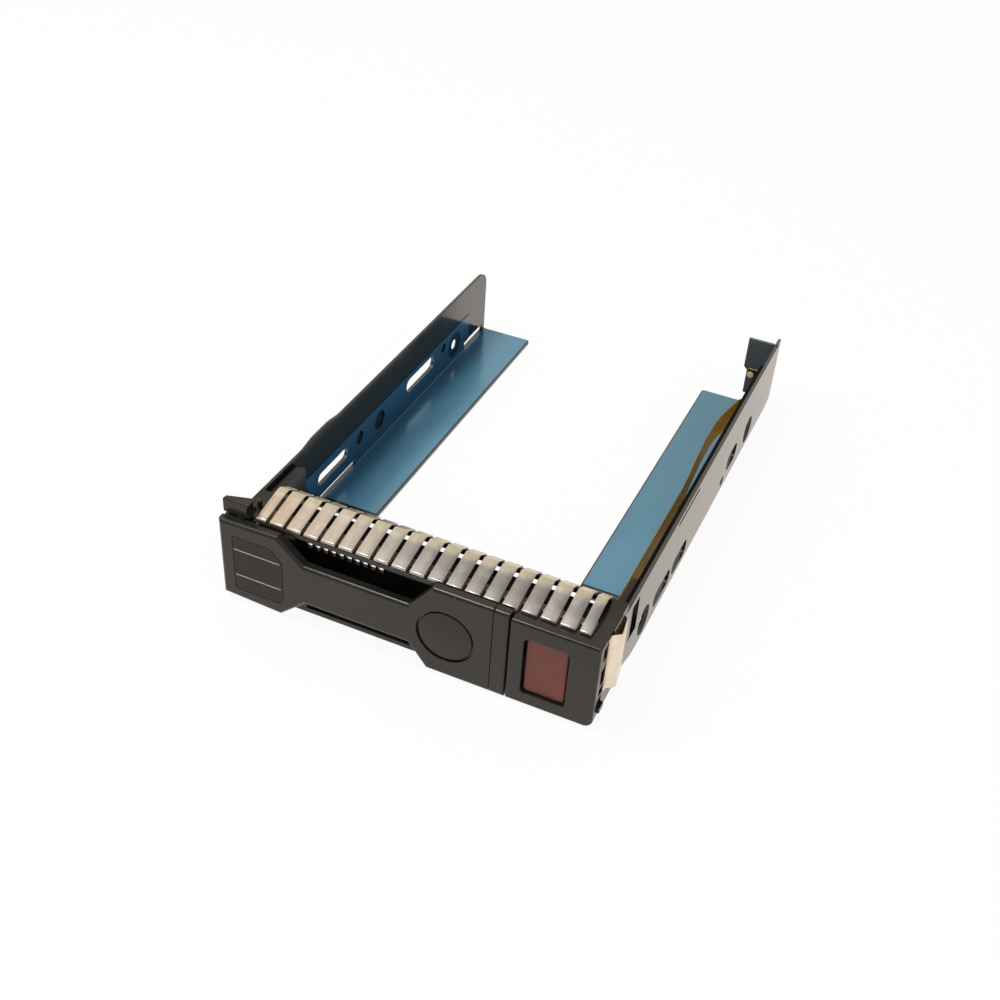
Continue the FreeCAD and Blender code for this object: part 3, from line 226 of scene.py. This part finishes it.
def coated_sheet(colour):
    """Black coat on steel sheet: faint orange peel, specks of dust, dull countersinks in the right wall,
    a duller upper stretch inside the left wall, and painted light: a greyer tab at the rear."""
    f = Finish("coated_sheet")
    x, y, z = f.axes("xyz")
    cloud = f.noise(9.0, 3.0)
    peel = f.noise(1.6)
    dust = (f.cells(2.3) < 0.055) * f.noise(14.0).step(0.48, 0.62)
    coat = f.mix(cloud.step(0.3, 0.75), times(colour, 0.8), times(colour, 1.25))
    shade = f.mix(dust * 0.5, coat, (0.34, 0.31, 0.27))
    # painted light: the rear tab gets a greyer colour for the bright room it reflects
    painted_light_tab = y.step(165.5, 166.5)
    shade = f.mix(painted_light_tab, shade, (0.075, 0.078, 0.076))
    coated = f.principled(base_color=shade, roughness=0.08 + cloud * 0.08 + dust * 0.4, ior=1.85,
                          normal=f.bump(peel, 0.05, 0.02, f.soft_edges(0.12)))
    dull = f.principled(base_color=f.mix(cloud, (0.012, 0.011, 0.01), (0.03, 0.028, 0.026)),
                        roughness=1.0, specular_ior_level=0.0)
    rise = z - SCREW_UP
    first, last = [((y - hole) * (y - hole) + rise * rise).root() for hole in SCREW_HOLES]
    sunk = (first < COUNTERSINK).largest(last < COUNTERSINK) * (x > 0.0)
    left_inside, above_film = (x > WALL_MIDDLE) * (x < 0.0), z.step(13.2, 14.6)
    ahead_of_rear = (150.0 - y).step(0.0, 30.0)
    duller = (sunk * 0.85).largest(left_inside * above_film * ahead_of_rear * 0.5)
    return f.close(f.node("MixShader", sockets={0: duller, 1: coated, 2: dull}))


def blue_film(colour):
    """Clear blue film over bright metal: a tinted mirror with slight waves, darker towards the rear, with
    painted shade up the walls and a painted reflection of the dark wall in the left corner."""
    f = Finish("blue_film")
    x, y, z = f.axes("xyz")
    wave = f.noise(22.0, stretch=(0.6, 1.6, 0.6))
    cloud = f.noise(7.0, 3.0)
    tint = f.mix(wave.step(0.3, 0.7), times(colour, 0.92), times(colour, 1.08))
    rearwards = (y + x).step(60.0, 230.0)
    # painted reflection: the ledge is darkened beside the left wall, as if mirroring it
    painted_wall_reflection = (0.0 - x).step(40.5, 52.5)
    # painted shade: the film is darker where it rises up the walls
    wall = z.step(1.3, 2.6)
    tint = f.mix(rearwards, tint, times(colour, 0.72))
    shade = f.mix(painted_wall_reflection * 0.75, tint, (0.03, 0.11, 0.22))
    shade = f.mix(wall * 0.75, shade, (0.02, 0.1, 0.2))
    return f.surface(base_color=shade, metallic=0.5, roughness=0.2 + cloud * 0.1, ior=1.5,
                     coat_weight=0.3, coat_roughness=0.12, normal=f.bump(wave, 0.12, 0.25))


def moulding(name, colour, grain=0.35, rough=0.17, edge=0.32, ior=1.45):
    """Fine spark-eroded texture on black plastic with satin edges, and painted shade: near black where it
    reaches behind the bezel.
    The grain and the edges' rounding are in millimetres."""
    f = Finish(name)
    y, = f.axes("y")
    fine = f.noise(grain, 3.0, rough=0.6)
    cloud = f.noise(16.0, 3.0)
    lint = (f.cells(3.1) < 0.04) * f.noise(11.0).step(0.5, 0.66)
    tint = f.mix(cloud.step(0.3, 0.75), times(colour, 0.86), times(colour, 1.2))
    # painted shade: near black from 9 mm behind the front face and further back
    behind = y.step(9.0, 19.0)
    tint = f.mix(behind * 0.85, tint, (0.001, 0.001, 0.001))
    shade = f.mix(lint * 0.45, tint, (0.4, 0.38, 0.35))
    return f.surface(base_color=shade, roughness=rough + fine * 0.08 + cloud * 0.06, ior=ior,
                     normal=f.bump(fine, 0.05, 0.03, f.soft_edges(edge)))


def red_window(colour):
    """Translucent dark red plastic: slightly cloudy, with a satin face."""
    f = Finish("red_window")
    fine = f.noise(0.4, 3.0)
    cloud = f.noise(6.0)
    speck = f.noise(0.7).step(0.45, 0.8)
    tint = f.mix(cloud.step(0.3, 0.75), times(colour, 0.94), times(colour, 1.08))
    shade = f.mix(speck * 0.05, tint, (0.4, 0.2, 0.19))
    return f.surface(base_color=shade, roughness=0.42 + fine * 0.1, ior=1.5, coat_weight=0.1,
                     coat_roughness=0.3, normal=f.bump(fine, 0.12, 0.03, f.soft_edges(0.35)))


def finger_metal(slope, crest):
    """Rolled spring strip, brushed across, with painted reflections: warm front slopes that turn grey to the
    right, a painted glint near the front fold, painted shade in the middle of the right half, a warm crest
    with a painted highlight, and faint handling marks."""
    f = Finish("finger_metal")
    x, y = f.axes("xy")
    brushed = f.noise(0.28, 3.0, (9.0, 1.0, 1.0))
    streak = f.noise(1.3, 3.0, (0.5, 4.0, 4.0))
    blot = f.noise(4.2, 3.0)
    # painted light: a lighter glint near the fold, warm to grey reflections across the row, shade and a crest
    # highlight
    painted_glint_fade, painted_crest_highlight = y.step(4.0, 8.0), (y + blot).step(11.4, 14.2)
    past_left, past_middle = x.step(-42.0, -20.0), x.step(-24.0, 4.0)
    shaded = x.step(-22.0, 22.0) * (44.0 - x).step(0.0, 14.0)
    grey = f.mix(painted_glint_fade, (0.62, 0.6, 0.58), (0.4, 0.39, 0.385))
    pale = f.mix(past_left, slope, (0.63, 0.56, 0.49))
    tone = f.mix(past_middle, pale, grey)
    tone = f.mix(shaded * 0.3, tone, (0.2, 0.195, 0.185))
    tone = f.mix(painted_crest_highlight * 0.8, tone, crest)
    tone = f.mix(streak.step(0.35, 0.75) * 0.3, tone, (0.36, 0.33, 0.3))
    tone = f.mix(blot.step(0.5, 0.75) * 0.25, tone, (0.8, 0.76, 0.7))
    return f.surface(base_color=tone, metallic=1.0, roughness=0.2 + brushed * 0.16 + blot * 0.1,
                     normal=f.bump(brushed + streak * 0.6, 0.3, 0.03))


def bright_leaf(colour):
    """Bare spring leaf: lengthwise rolling marks and a few dull patches."""
    f = Finish("bright_leaf")
    rolled = f.noise(0.4, 3.0, (1.0, 1.0, 12.0))
    patch = f.noise(5.0, 3.0)
    tone = f.mix(patch.step(0.4, 0.75) * 0.5, colour, times(colour, 0.62))
    return f.surface(base_color=tone, metallic=1.0, roughness=0.24 + rolled * 0.14 + patch * 0.1,
                     normal=f.bump(rolled, 0.3, 0.03, f.soft_edges(0.08)))


def drawn_steel():
    """Drawn spring wire and turned pins: a fine grain and a faint oil film."""
    f = Finish("drawn_steel")
    grain = f.noise(0.2)
    oil = f.noise(3.0)
    tone = f.mix(oil.step(0.3, 0.7), (0.5, 0.5, 0.52), (0.66, 0.65, 0.63))
    return f.surface(base_color=tone, metallic=1.0, roughness=0.25 + grain * 0.15,
                     normal=f.bump(grain, 0.15, 0.01))


def solder_mask():
    """Green board: tracks under the mask as slightly raised paler lines, and a woven glass ground."""
    f = Finish("solder_mask")
    x, z = f.axes("xz")
    track = ((x * 4.2).sine() * (z * 3.1 + f.noise(4.0) * 5.0).sine()).step(0.55, 0.7)
    weave = (x * 12.0).sine() * (z * 12.0).sine()
    tone = f.mix(track, (0.012, 0.085, 0.045), (0.03, 0.17, 0.085))
    return f.surface(base_color=tone, roughness=0.28 + f.noise(1.2) * 0.1, ior=1.5,
                     normal=f.bump(track + weave * 0.15, 0.4, 0.02))


def lamp_epoxy():
    """Clear lamp bodies with a slightly frosted skin."""
    f = Finish("lamp_epoxy")
    frost = f.noise(0.3)
    tone = f.mix(frost.step(0.3, 0.7), (0.7, 0.68, 0.6), (0.85, 0.84, 0.8))
    return f.surface(base_color=tone, roughness=0.2 + frost * 0.2, ior=1.5, normal=f.bump(frost, 0.2, 0.02))


def amber_cable(colour):
    """Polyimide ribbon: satin amber with nine darker copper tracks under it, a clear border and painted shade
    along the upper edge."""
    f = Finish("amber_cable")
    z, = f.axes("z")
    tracks, first_track, spread = 9, 10.9, 6.8
    between_borders, painted_shade_edge = (z > 11.0) * (z < 17.6), z > 18.1
    ripple = f.noise(6.0, stretch=(1.0, 2.5, 1.0))
    wave = ((z - first_track) * (2 * math.pi * tracks / spread) - 1.2).sine()
    copper = wave.step(-0.25, 0.3) * between_borders
    tone = f.mix(copper, colour, times(colour, 0.5))
    tone = f.mix(ripple.step(0.45, 0.75) * 0.3, tone, times(colour, 1.5))
    # painted shade: the upper edge is darkened against the light that falls on it
    tone = f.mix(painted_shade_edge * 0.9, tone, times(colour, 0.2))
    return f.surface(base_color=tone, roughness=0.4 + ripple * 0.1, ior=1.35, subsurface_weight=0.75,
                     subsurface_radius=(1.0, 0.8, 0.2), subsurface_scale=0.9 * MM,
                     normal=f.bump(ripple + copper * 0.15, 0.3, 0.12))


def gold_pad():
    """Gold plating over nickel: a soft shine with thin darker scratches."""
    f = Finish("gold_pad")
    mark = f.noise(0.5, 3.0, (5.0, 1.0, 1.0))
    tone = f.mix(mark.step(0.4, 0.7), (0.95, 0.76, 0.5), (0.85, 0.55, 0.28))
    return f.surface(base_color=tone, metallic=0.3, roughness=0.4 + mark * 0.15,
                     normal=f.bump(mark, 0.2, 0.01))


def printed_rule(colour):
    """Printed off-white ink, slightly uneven."""
    f = Finish("printed_rule")
    grain = f.noise(0.25, 3.0)
    tone = f.mix(grain.step(0.3, 0.8), times(colour, 0.82), colour)
    return f.surface(base_color=tone, roughness=0.5 + grain * 0.2, normal=f.bump(grain, 0.2, 0.01))


def paint(names, material):
    """Gives the material to each CAD node or new piece that is named."""
    for name in names:
        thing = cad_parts.get(name) or bpy.data.objects[name]
        thing.data.materials.clear()
        thing.data.materials.append(material)


# Surfaces

def new_piece(name, points, faces, body, crease=35.0):
    """A mesh of points in the row's frame, smooth except where faces meet at more than crease degrees."""
    mesh = bpy.data.meshes.new(name)
    mesh.from_pydata(points, [], faces)
    mesh.shade_smooth()
    mesh.set_sharp_from_angle(angle=math.radians(crease))
    mesh.update()
    piece = bpy.data.objects.new(name, mesh)
    bpy.context.scene.collection.objects.link(piece)
    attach(piece, body)
    return piece


def joined(blocks):
    """Closed tubes as one mesh. Each block holds a tube's points, by row and then round the section."""
    points, faces = [], []
    start = 0
    for block in blocks:
        rows, around = block.shape[:2]
        points.append(block.reshape(-1, 3))
        faces += tube_faces(rows, around, start)
        start += rows * around
    return np.concatenate(points), faces


def tube_faces(rows, around, start):
    """Quads between neighbouring rows of a closed section, and one cap at each end."""
    row, at = np.meshgrid(np.arange(rows - 1), np.arange(around), indexing="ij")
    after = (at + 1) % around
    corners = [row * around + at, (row + 1) * around + at, (row + 1) * around + after, row * around + after]
    quads = np.stack(corners, axis=-1).reshape(-1, 4) + start
    first = list(range(start, start + around))
    last = list(range(start + (rows - 1) * around, start + rows * around))
    return quads.tolist() + [first, last[::-1]]


def straight_strip(run, section, y, z, across_y=True):
    """A section carried along X. Its first value goes along Y and its second along Z, or the other way."""
    first, second = (section[:, 0], section[:, 1]) if across_y else (section[:, 1], section[:, 0])
    shape = (len(run), len(section))
    return np.stack([np.broadcast_to(run[:, None], shape), np.broadcast_to(y + first[None, :], shape),
                     np.broadcast_to(z + second[None, :], shape)], -1)


def bent_strip(path, ways, section, across):
    """A section carried along a path in the YZ plane: each point is the path's point, plus the section's
    second value along the path's left normal, and its X is across plus the section's first value."""
    normal = np.stack([-ways[:, 1], ways[:, 0]], -1)
    plane = path[:, None, :] + normal[:, None, :] * section[None, :, 1:2]
    side = np.broadcast_to(across + section[None, :, 0], plane.shape[:2])
    return np.stack([side, plane[..., 0], plane[..., 1]], -1)


def smooth_path(corners, radii, step=0.25, arc_step=6.0):
    """Straight runs joined by tangent arcs: each corner is cut where an arc of its radius meets both runs.
    Returns points along the line, about step mm or arc_step degrees apart, and the unit direction at each,
    in two dimensions."""
    corners = np.asarray(corners, float)
    points, ways = [corners[0]], []
    start = corners[0]
    for before, corner, after, radius in zip(corners, corners[1:], corners[2:], radii):
        a = (corner - before) / np.linalg.norm(corner - before)
        b = (after - corner) / np.linalg.norm(after - corner)
        turn = math.atan2(a[0] * b[1] - a[1] * b[0], a @ b)
        begin = corner - a * radius * math.tan(abs(turn) / 2)
        centre = begin + math.copysign(radius, turn) * np.array([-a[1], a[0]])
        points, ways = run_to(points, ways, start, begin, a, step)
        t = np.linspace(0, turn, max(4, int(abs(turn) / math.radians(arc_step))))[1:]
        spin = np.stack([np.cos(t), -np.sin(t), np.sin(t), np.cos(t)], -1).reshape(-1, 2, 2)
        points += list(centre + spin @ (begin - centre))
        ways += list(spin @ a)
        start = points[-1]
    last = (corners[-1] - start) / np.linalg.norm(corners[-1] - start)
    points, ways = run_to(points, ways, start, corners[-1], last, step)
    return np.array(points), np.array([ways[0]] + ways)


def run_to(points, ways, start, end, way, step):
    """Adds even points on a straight run."""
    count = max(1, int(np.linalg.norm(end - start) / step))
    t = np.linspace(0, 1, count + 1)[1:, None]
    return points + list(start + (end - start) * t), ways + [way] * count


def strip_section(width, thick, edge, count=3):
    """Outline of a flat strip with rounded edges: across (width) and through (thick), as a closed loop."""
    w, h = width / 2 - edge, thick / 2 - edge
    loops = []
    for (cx, cy), begin in zip(((w, h), (-w, h), (-w, -h), (w, -h)), (0, 90, 180, 270)):
        t = np.radians(np.linspace(begin, begin + 90, count))
        loops.append(np.stack([cx + edge * np.cos(t), cy + edge * np.sin(t)], -1))
    return np.concatenate(loops)


# Settings

class CarrierColours(bpy.types.PropertyGroup):
    """Colours of the pieces"""
    rails: FloatVectorProperty(name="Rails", description="Black coat of the rails",
                               subtype="COLOR", default=(0.006, 0.006, 0.0065))
    film: FloatVectorProperty(name="Film", description="Blue insulating film",
                              subtype="COLOR", default=(0.112, 0.305, 0.46))
    bezel: FloatVectorProperty(name="Bezel", description="Black moulding",
                               subtype="COLOR", default=(0.0165, 0.0152, 0.0128))
    label: FloatVectorProperty(name="Label", description="Label field",
                               subtype="COLOR", default=(0.014, 0.0125, 0.011))
    button: FloatVectorProperty(name="Button", description="Release button",
                                subtype="COLOR", default=(0.137, 0.022, 0.014))
    # painted reflections: the slope colour is the warm room the left fingers reflect, the lighter crest
    # colour a painted highlight
    slope: FloatVectorProperty(name="Finger slope", description="Front slope of the fingers",
                               subtype="COLOR", default=(0.64, 0.54, 0.43))
    crest: FloatVectorProperty(name="Finger crest", description="Crest of the fingers",
                               subtype="COLOR", default=(0.74, 0.68, 0.54))
    leaf: FloatVectorProperty(name="Side leaf", description="Spring leaf on the right",
                              subtype="COLOR", default=(0.86, 0.78, 0.66))
    cable: FloatVectorProperty(name="Cable", description="Flat cable",
                               subtype="COLOR", default=(0.62, 0.42, 0.05))
    ink: FloatVectorProperty(name="Rules", description="Thin lines on the label",
                             subtype="COLOR", default=(0.6, 0.57, 0.52))


class CarrierSizes(bpy.types.PropertyGroup):
    """Sizes of the new pieces and of the floor"""
    finger_width: FloatProperty(name="Finger width", description="Width of one finger",
                                unit="LENGTH", default=0.00407)
    finger_pitch: FloatProperty(name="Finger pitch", description="From one finger to the next",
                                unit="LENGTH", default=0.005135)
    fingers: IntProperty(name="Fingers", description="Number of fingers", default=19, min=1)
    end_cut: FloatProperty(name="End cut", description="What the two end fingers lack",
                           unit="LENGTH", default=0.00115)
    sheet: FloatProperty(name="Spring sheet", description="Thickness of the fingers' sheet",
                         unit="LENGTH", default=0.00025)
    rule_width: FloatProperty(name="Rule width", description="Width of a line on the label",
                              unit="LENGTH", default=0.00024)
    floor: FloatProperty(name="Floor", description="Size of the floor", unit="LENGTH", default=6.0)


# Pieces

class CARRIER_OT_rails(bpy.types.Operator):
    """Coat the two rails and the channel along the right one"""
    bl_idname = "carrier.rails"
    bl_label = "Rails"
    bl_options = {"REGISTER", "UNDO"}

    def execute(self, context):
        paint(["left_rail", "right_rail"], coated_sheet(tuple(context.scene.carrier_colours.rails)))
        paint(["flex_guide"], moulding("guide_moulding", (0.006, 0.005, 0.005),
                                       grain=0.3, rough=0.5, edge=0.1, ior=1.15))
        paint(["rear_stiffener"], moulding("stiffener_moulding", (0.03, 0.028, 0.026),
                                           grain=0.3, rough=0.4, edge=0.08))
        return {"FINISHED"}


class CARRIER_OT_films(bpy.types.Operator):
    """Line the ledges with blue film"""
    bl_idname = "carrier.films"
    bl_label = "Films"
    bl_options = {"REGISTER", "UNDO"}

    def execute(self, context):
        paint(["left_film", "right_film"], blue_film(tuple(context.scene.carrier_colours.film)))
        return {"FINISHED"}


class CARRIER_OT_bezel(bpy.types.Operator):
    """Texture the bezel moulding, the lever and its trim, the disc and the label field"""
    bl_idname = "carrier.bezel"
    bl_label = "Bezel and lever"
    bl_options = {"REGISTER", "UNDO"}

    def execute(self, context):
        colours = context.scene.carrier_colours
        black, label = tuple(colours.bezel), tuple(colours.label)
        paint(["bezel_body", "lever", "lever_end_trim"], moulding("bezel_moulding", black))
        paint(["ring_disc"], moulding("disc_moulding", black, grain=0.4, rough=0.42, edge=0.2))
        paint(["ring_light_guide"], moulding("smoked_ring", (0.008, 0.008, 0.008),
                                             grain=0.6, rough=0.2, edge=0.1))
        paint(["label_inlay"], moulding("label_field", label, grain=0.28, rough=0.5, edge=0.1))
        return {"FINISHED"}


class CARRIER_OT_button(bpy.types.Operator):
    """Finish the red release button, its spring and the latch"""
    bl_idname = "carrier.button"
    bl_label = "Button and latch"
    bl_options = {"REGISTER", "UNDO"}

    def execute(self, context):
        paint(["release_button"], red_window(tuple(context.scene.carrier_colours.button)))
        paint(["button_spring", "lever_spring", "pivot_pin", "board_screws"], drawn_steel())
        paint(["latch_slider", "board_connector"], moulding("latch_moulding", (0.03, 0.03, 0.032),
                                                            grain=0.4, rough=0.35, edge=0.15))
        return {"FINISHED"}


class CARRIER_OT_board(bpy.types.Operator):
    """Finish the status board, its lamps and the rear contacts"""
    bl_idname = "carrier.board"
    bl_label = "Board and contacts"
    bl_options = {"REGISTER", "UNDO"}

    def execute(self, context):
        paint(["status_board"], solder_mask())
        paint(["status_leds"], lamp_epoxy())
        paint(["rear_contacts"], gold_pad())
        return {"FINISHED"}


class CARRIER_OT_rules(bpy.types.Operator):
    """Print the two thin lines on the label field"""
    bl_idname = "carrier.rules"
    bl_label = "Label rules"
    bl_options = {"REGISTER", "UNDO"}

    heights = (18.6 * MM, 9.8 * MM)
    left_margin, right_margin = 0.2 * MM, 0.7 * MM
    thick, edge = 0.06 * MM, 0.02 * MM
    rows = 24

    def execute(self, context):
        low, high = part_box("label_inlay")
        run = np.linspace(low.x + self.left_margin, high.x - self.right_margin, self.rows)
        section = strip_section(context.scene.carrier_sizes.rule_width, self.thick, self.edge)
        points, faces = joined([straight_strip(run, section, low.y, z, across_y=False) for z in self.heights])
        new_piece("label_rules", points, faces, "lever")
        paint(["label_rules"], printed_rule(tuple(context.scene.carrier_colours.ink)))
        return {"FINISHED"}


class CARRIER_OT_fingers(bpy.types.Operator):
    """Fold the row of arched shielding fingers"""
    bl_idname = "carrier.fingers"
    bl_label = "Shielding fingers"
    bl_options = {"REGISTER", "UNDO"}

    # Millimetres in the drawing's frame
    fold_y, fold_height = 3.3, 0.72
    crest_front, crest_rear, crest_drop = 13.2, 15.0, 0.1
    tail_rise = 0.45
    radii = (0.3, 0.3, 1.2, 0.8)
    foot_rear = 8.6                      # each finger's foot ends here, under the common strip
    base_front, base_rear = 6.2, 8.7     # the common strip
    base_sink = 0.01
    edge = 0.06                          # rounding of the sheet's cut edges
    lifts = (-0.08, 0.03)                # how far a finger is bent down or up by handling
    lift_rise = 3.0                      # the height at which it has its full lift
    base_rows = 60

    def execute(self, context):
        sizes, colours = context.scene.carrier_sizes, context.scene.carrier_colours
        low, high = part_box("emi_finger_strip")
        thick = sizes.sheet / MM
        base = low.z / MM + thick / 2
        pitch, wide, cut = sizes.finger_pitch / MM, sizes.finger_width / MM, sizes.end_cut / MM
        row_left = low.x / MM - SIDE / MM - cut
        last = sizes.fingers - 1
        path, ways = self.profile(base, high.z / MM - thick / 2, high.y / MM - FRONT / MM)
        grown = np.clip((path[:, 1] - base) / self.lift_rise, 0, 1)
        rng = np.random.default_rng(4)
        blocks = []
        for i in range(sizes.fingers):
            left = row_left + pitch * i + cut * (i == 0)
            right = row_left + pitch * i + wide - cut * (i == last)
            bent = path + np.stack([np.zeros(len(path)), rng.uniform(*self.lifts) * grown], -1)
            section = strip_section(right - left, thick, self.edge)
            blocks.append(bent_strip(bent, ways, section, (left + right) / 2))
        run = np.linspace(row_left + cut, row_left + pitch * last + wide - cut, self.base_rows)
        section = strip_section(self.base_rear - self.base_front, thick, self.edge)
        middle = (self.base_front + self.base_rear) / 2
        blocks.append(straight_strip(run, section, middle, base - self.base_sink))
        points, faces = joined(blocks)
        piece = new_piece("finger_row", drawn(points), faces, "carrier")
        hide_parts("emi_finger_strip")
        paint(["finger_row"], finger_metal(tuple(colours.slope), tuple(colours.crest)))
        return {"FINISHED"}

    def profile(self, base, crest, tail):
        """A finger's middle line: from its foot to the front fold, up the slope, over the crest and down."""
        corners = [(self.foot_rear, base), (self.fold_y, base), (self.fold_y, base + self.fold_height),
                   (self.crest_front, crest - self.crest_drop), (self.crest_rear, crest),
                   (tail, base + self.tail_rise)]
        return smooth_path(corners, self.radii)


class CARRIER_OT_leaf(bpy.types.Operator):
    """Finish the bowed leaf on the right side"""
    bl_idname = "carrier.leaf"
    bl_label = "Side leaf"
    bl_options = {"REGISTER", "UNDO"}

    def execute(self, context):
        paint(["emi_side_leaf"], bright_leaf(tuple(context.scene.carrier_colours.leaf)))
        return {"FINISHED"}


class CARRIER_OT_cable(bpy.types.Operator):
    """Finish the amber flat cable"""
    bl_idname = "carrier.cable"
    bl_label = "Cable"
    bl_options = {"REGISTER", "UNDO"}

    def execute(self, context):
        paint(["flex_cable"], amber_cable(tuple(context.scene.carrier_colours.cable)))
        return {"FINISHED"}


# Stage

# Each lamp's place in metres, its size in metres and its power in watts
LAMPS = {
    "key": ((-0.29, -0.17, 0.95), 0.2, 3.4),
    "soft": ((-0.5, -0.35, 0.9), 0.9, 2.2),
    "fill": ((0.8, -0.6, 0.6), 0.8, 1.2),
}
LAMP_COLOUR = (1.0, 0.98, 0.96)

# What a mirror sees of the room, from level (0.0) to straight above (1.0)
ROOM_TONES = [
    (0.0, (0.95, 0.91, 0.84, 1.0)), (0.45, (0.9, 0.84, 0.74, 1.0)), (0.62, (0.88, 0.78, 0.62, 1.0)),
    (0.8, (0.82, 0.72, 0.6, 1.0)), (0.9, (0.6, 0.54, 0.5, 1.0)), (0.97, (0.4, 0.38, 0.38, 1.0)),
    (1.0, (0.3, 0.3, 0.3, 1.0)),
]
WHITE = (1.0, 1.0, 1.0)
FLOOR_GAP = 0.2 * MM
PLAIN_SHARE = 0.93     # how much of the floor is plain white to the camera: the rest shows its shadows

# The camera that was fitted to the photograph
LENS = 47.4435
CAMERA_PLACE = (0.1131354 + SIDE, -0.30429771, 0.24831487)
CAMERA_TURN = Matrix(((0.90922188, -0.29479431, 0.29395898),
                      (0.41250797, 0.5427114, -0.73164302),
                      (0.05614931, 0.78648627, 0.61505009)))


class CARRIER_OT_stage(bpy.types.Operator):
    """Set the pale floor, the soft light and the camera"""
    bl_idname = "carrier.stage"
    bl_label = "Stage"
    bl_options = {"REGISTER", "UNDO"}

    def execute(self, context):
        lay_floor(context.scene)
        light_room(context.scene)
        set_lamps(context.scene)
        set_camera(context.scene)
        return {"FINISHED"}


def lay_floor(scene):
    """A square of pale paper just under the object."""
    side = scene.carrier_sizes.floor / 2
    corners = [(-side, -side, 0), (side, -side, 0), (side, side, 0), (-side, side, 0)]
    mesh = bpy.data.meshes.new("floor")
    mesh.from_pydata(corners, [], [(0, 1, 2, 3)])
    floor = bpy.data.objects.new("floor", mesh)
    floor.location.z = -FLOOR_GAP
    scene.collection.objects.link(floor)
    mesh.materials.append(floor_paper())


def floor_paper():
    """Matt paper that keeps a faint shadow on white, and looks slightly warm in a mirror."""
    f = Finish("floor_paper")
    paper = f.mix(f.noise(1.5), (0.87, 0.87, 0.87), (0.9, 0.9, 0.9))
    matt = f.node("BsdfDiffuse", sockets={"Color": paper})
    seen = f.node("LightPath", out="Is Camera Ray")
    mirrored = f.node("LightPath", out="Is Glossy Ray")
    plain = f.node("Emission", sockets={"Color": f.mix(seen, (1.0, 0.925, 0.84), WHITE), "Strength": 1.0})
    share = seen.largest(mirrored) * PLAIN_SHARE
    return f.close(f.node("MixShader", sockets={0: share, 1: matt, 2: plain}))


def light_room(scene):
    """Even grey light, white to the camera. A mirror sees a warm room, dark to the right and in front."""
    f = Room("soft_room")
    way = f.node("TexCoord", out="Generated")
    across, along, height = [f.node("SeparateXYZ", sockets={0: way}, out=i) for i in range(3)]
    warm = f.node("ValToRGB", {"stops": ROOM_TONES}, {0: height})
    right, in_front = across.step(0.1, 0.3), (0.0 - along).step(0.3, 0.6) * height.step(0.0, 0.1)
    room = f.mix(right.largest(in_front), warm, (0.1, 0.1, 0.1))
    mirrored = f.node("LightPath", out="Is Glossy Ray")
    seen = f.node("LightPath", out="Is Camera Ray")
    plain = f.mix(mirrored, (0.62, 0.62, 0.62), room)
    back = f.node("Background", sockets={"Color": f.mix(seen, plain, WHITE), "Strength": 1.0})
    scene.world = f.close(back, "OutputWorld")


def set_lamps(scene):
    """Square lamps that face the origin."""
    for name, (place, size, power) in LAMPS.items():
        lamp = bpy.data.lights.new(name, "AREA")
        lamp.size, lamp.energy, lamp.color = size, power, LAMP_COLOUR
        holder = bpy.data.objects.new(name, lamp)
        holder.location = place
        holder.rotation_euler = Vector(place).to_track_quat("Z", "Y").to_euler()
        scene.collection.objects.link(holder)


def set_camera(scene):
    """The fitted camera, with colours shown as they are."""
    lens = bpy.data.cameras.new("camera")
    lens.lens = LENS
    lens.clip_start, lens.clip_end = 0.01, 50.0
    holder = bpy.data.objects.new("camera", lens)
    holder.matrix_world = Matrix.Translation(CAMERA_PLACE) @ CAMERA_TURN.to_4x4()
    scene.collection.objects.link(holder)
    scene.camera = holder
    scene.view_settings.view_transform = "Standard"


# Add-on

STEPS = (CARRIER_OT_rails, CARRIER_OT_films, CARRIER_OT_bezel, CARRIER_OT_button, CARRIER_OT_board,
         CARRIER_OT_rules, CARRIER_OT_fingers, CARRIER_OT_leaf, CARRIER_OT_cable, CARRIER_OT_stage)


class CARRIER_PT_looks(bpy.types.Panel):
    """Lists the steps and their settings"""
    bl_idname = "CARRIER_PT_looks"
    bl_label = "Drive carrier"
    bl_space_type = "VIEW_3D"
    bl_region_type = "UI"
    bl_category = "Carrier"

    def draw(self, context):
        for step in STEPS:
            self.layout.operator(step.bl_idname)
        for group in (context.scene.carrier_colours, context.scene.carrier_sizes):
            for name in group.__annotations__:
                self.layout.prop(group, name)


CLASSES = (CarrierColours, CarrierSizes, *STEPS, CARRIER_PT_looks)


def register():
    for item in CLASSES:
        bpy.utils.register_class(item)
    bpy.types.Scene.carrier_colours = PointerProperty(type=CarrierColours)
    bpy.types.Scene.carrier_sizes = PointerProperty(type=CarrierSizes)


def unregister():
    del bpy.types.Scene.carrier_sizes, bpy.types.Scene.carrier_colours
    for item in reversed(CLASSES):
        bpy.utils.unregister_class(item)


def main():
    register()
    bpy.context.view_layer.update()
    for step in STEPS:
        group, name = step.bl_idname.split(".")
        getattr(getattr(bpy.ops, group), name)()


if __name__ == "__main__":
    main()
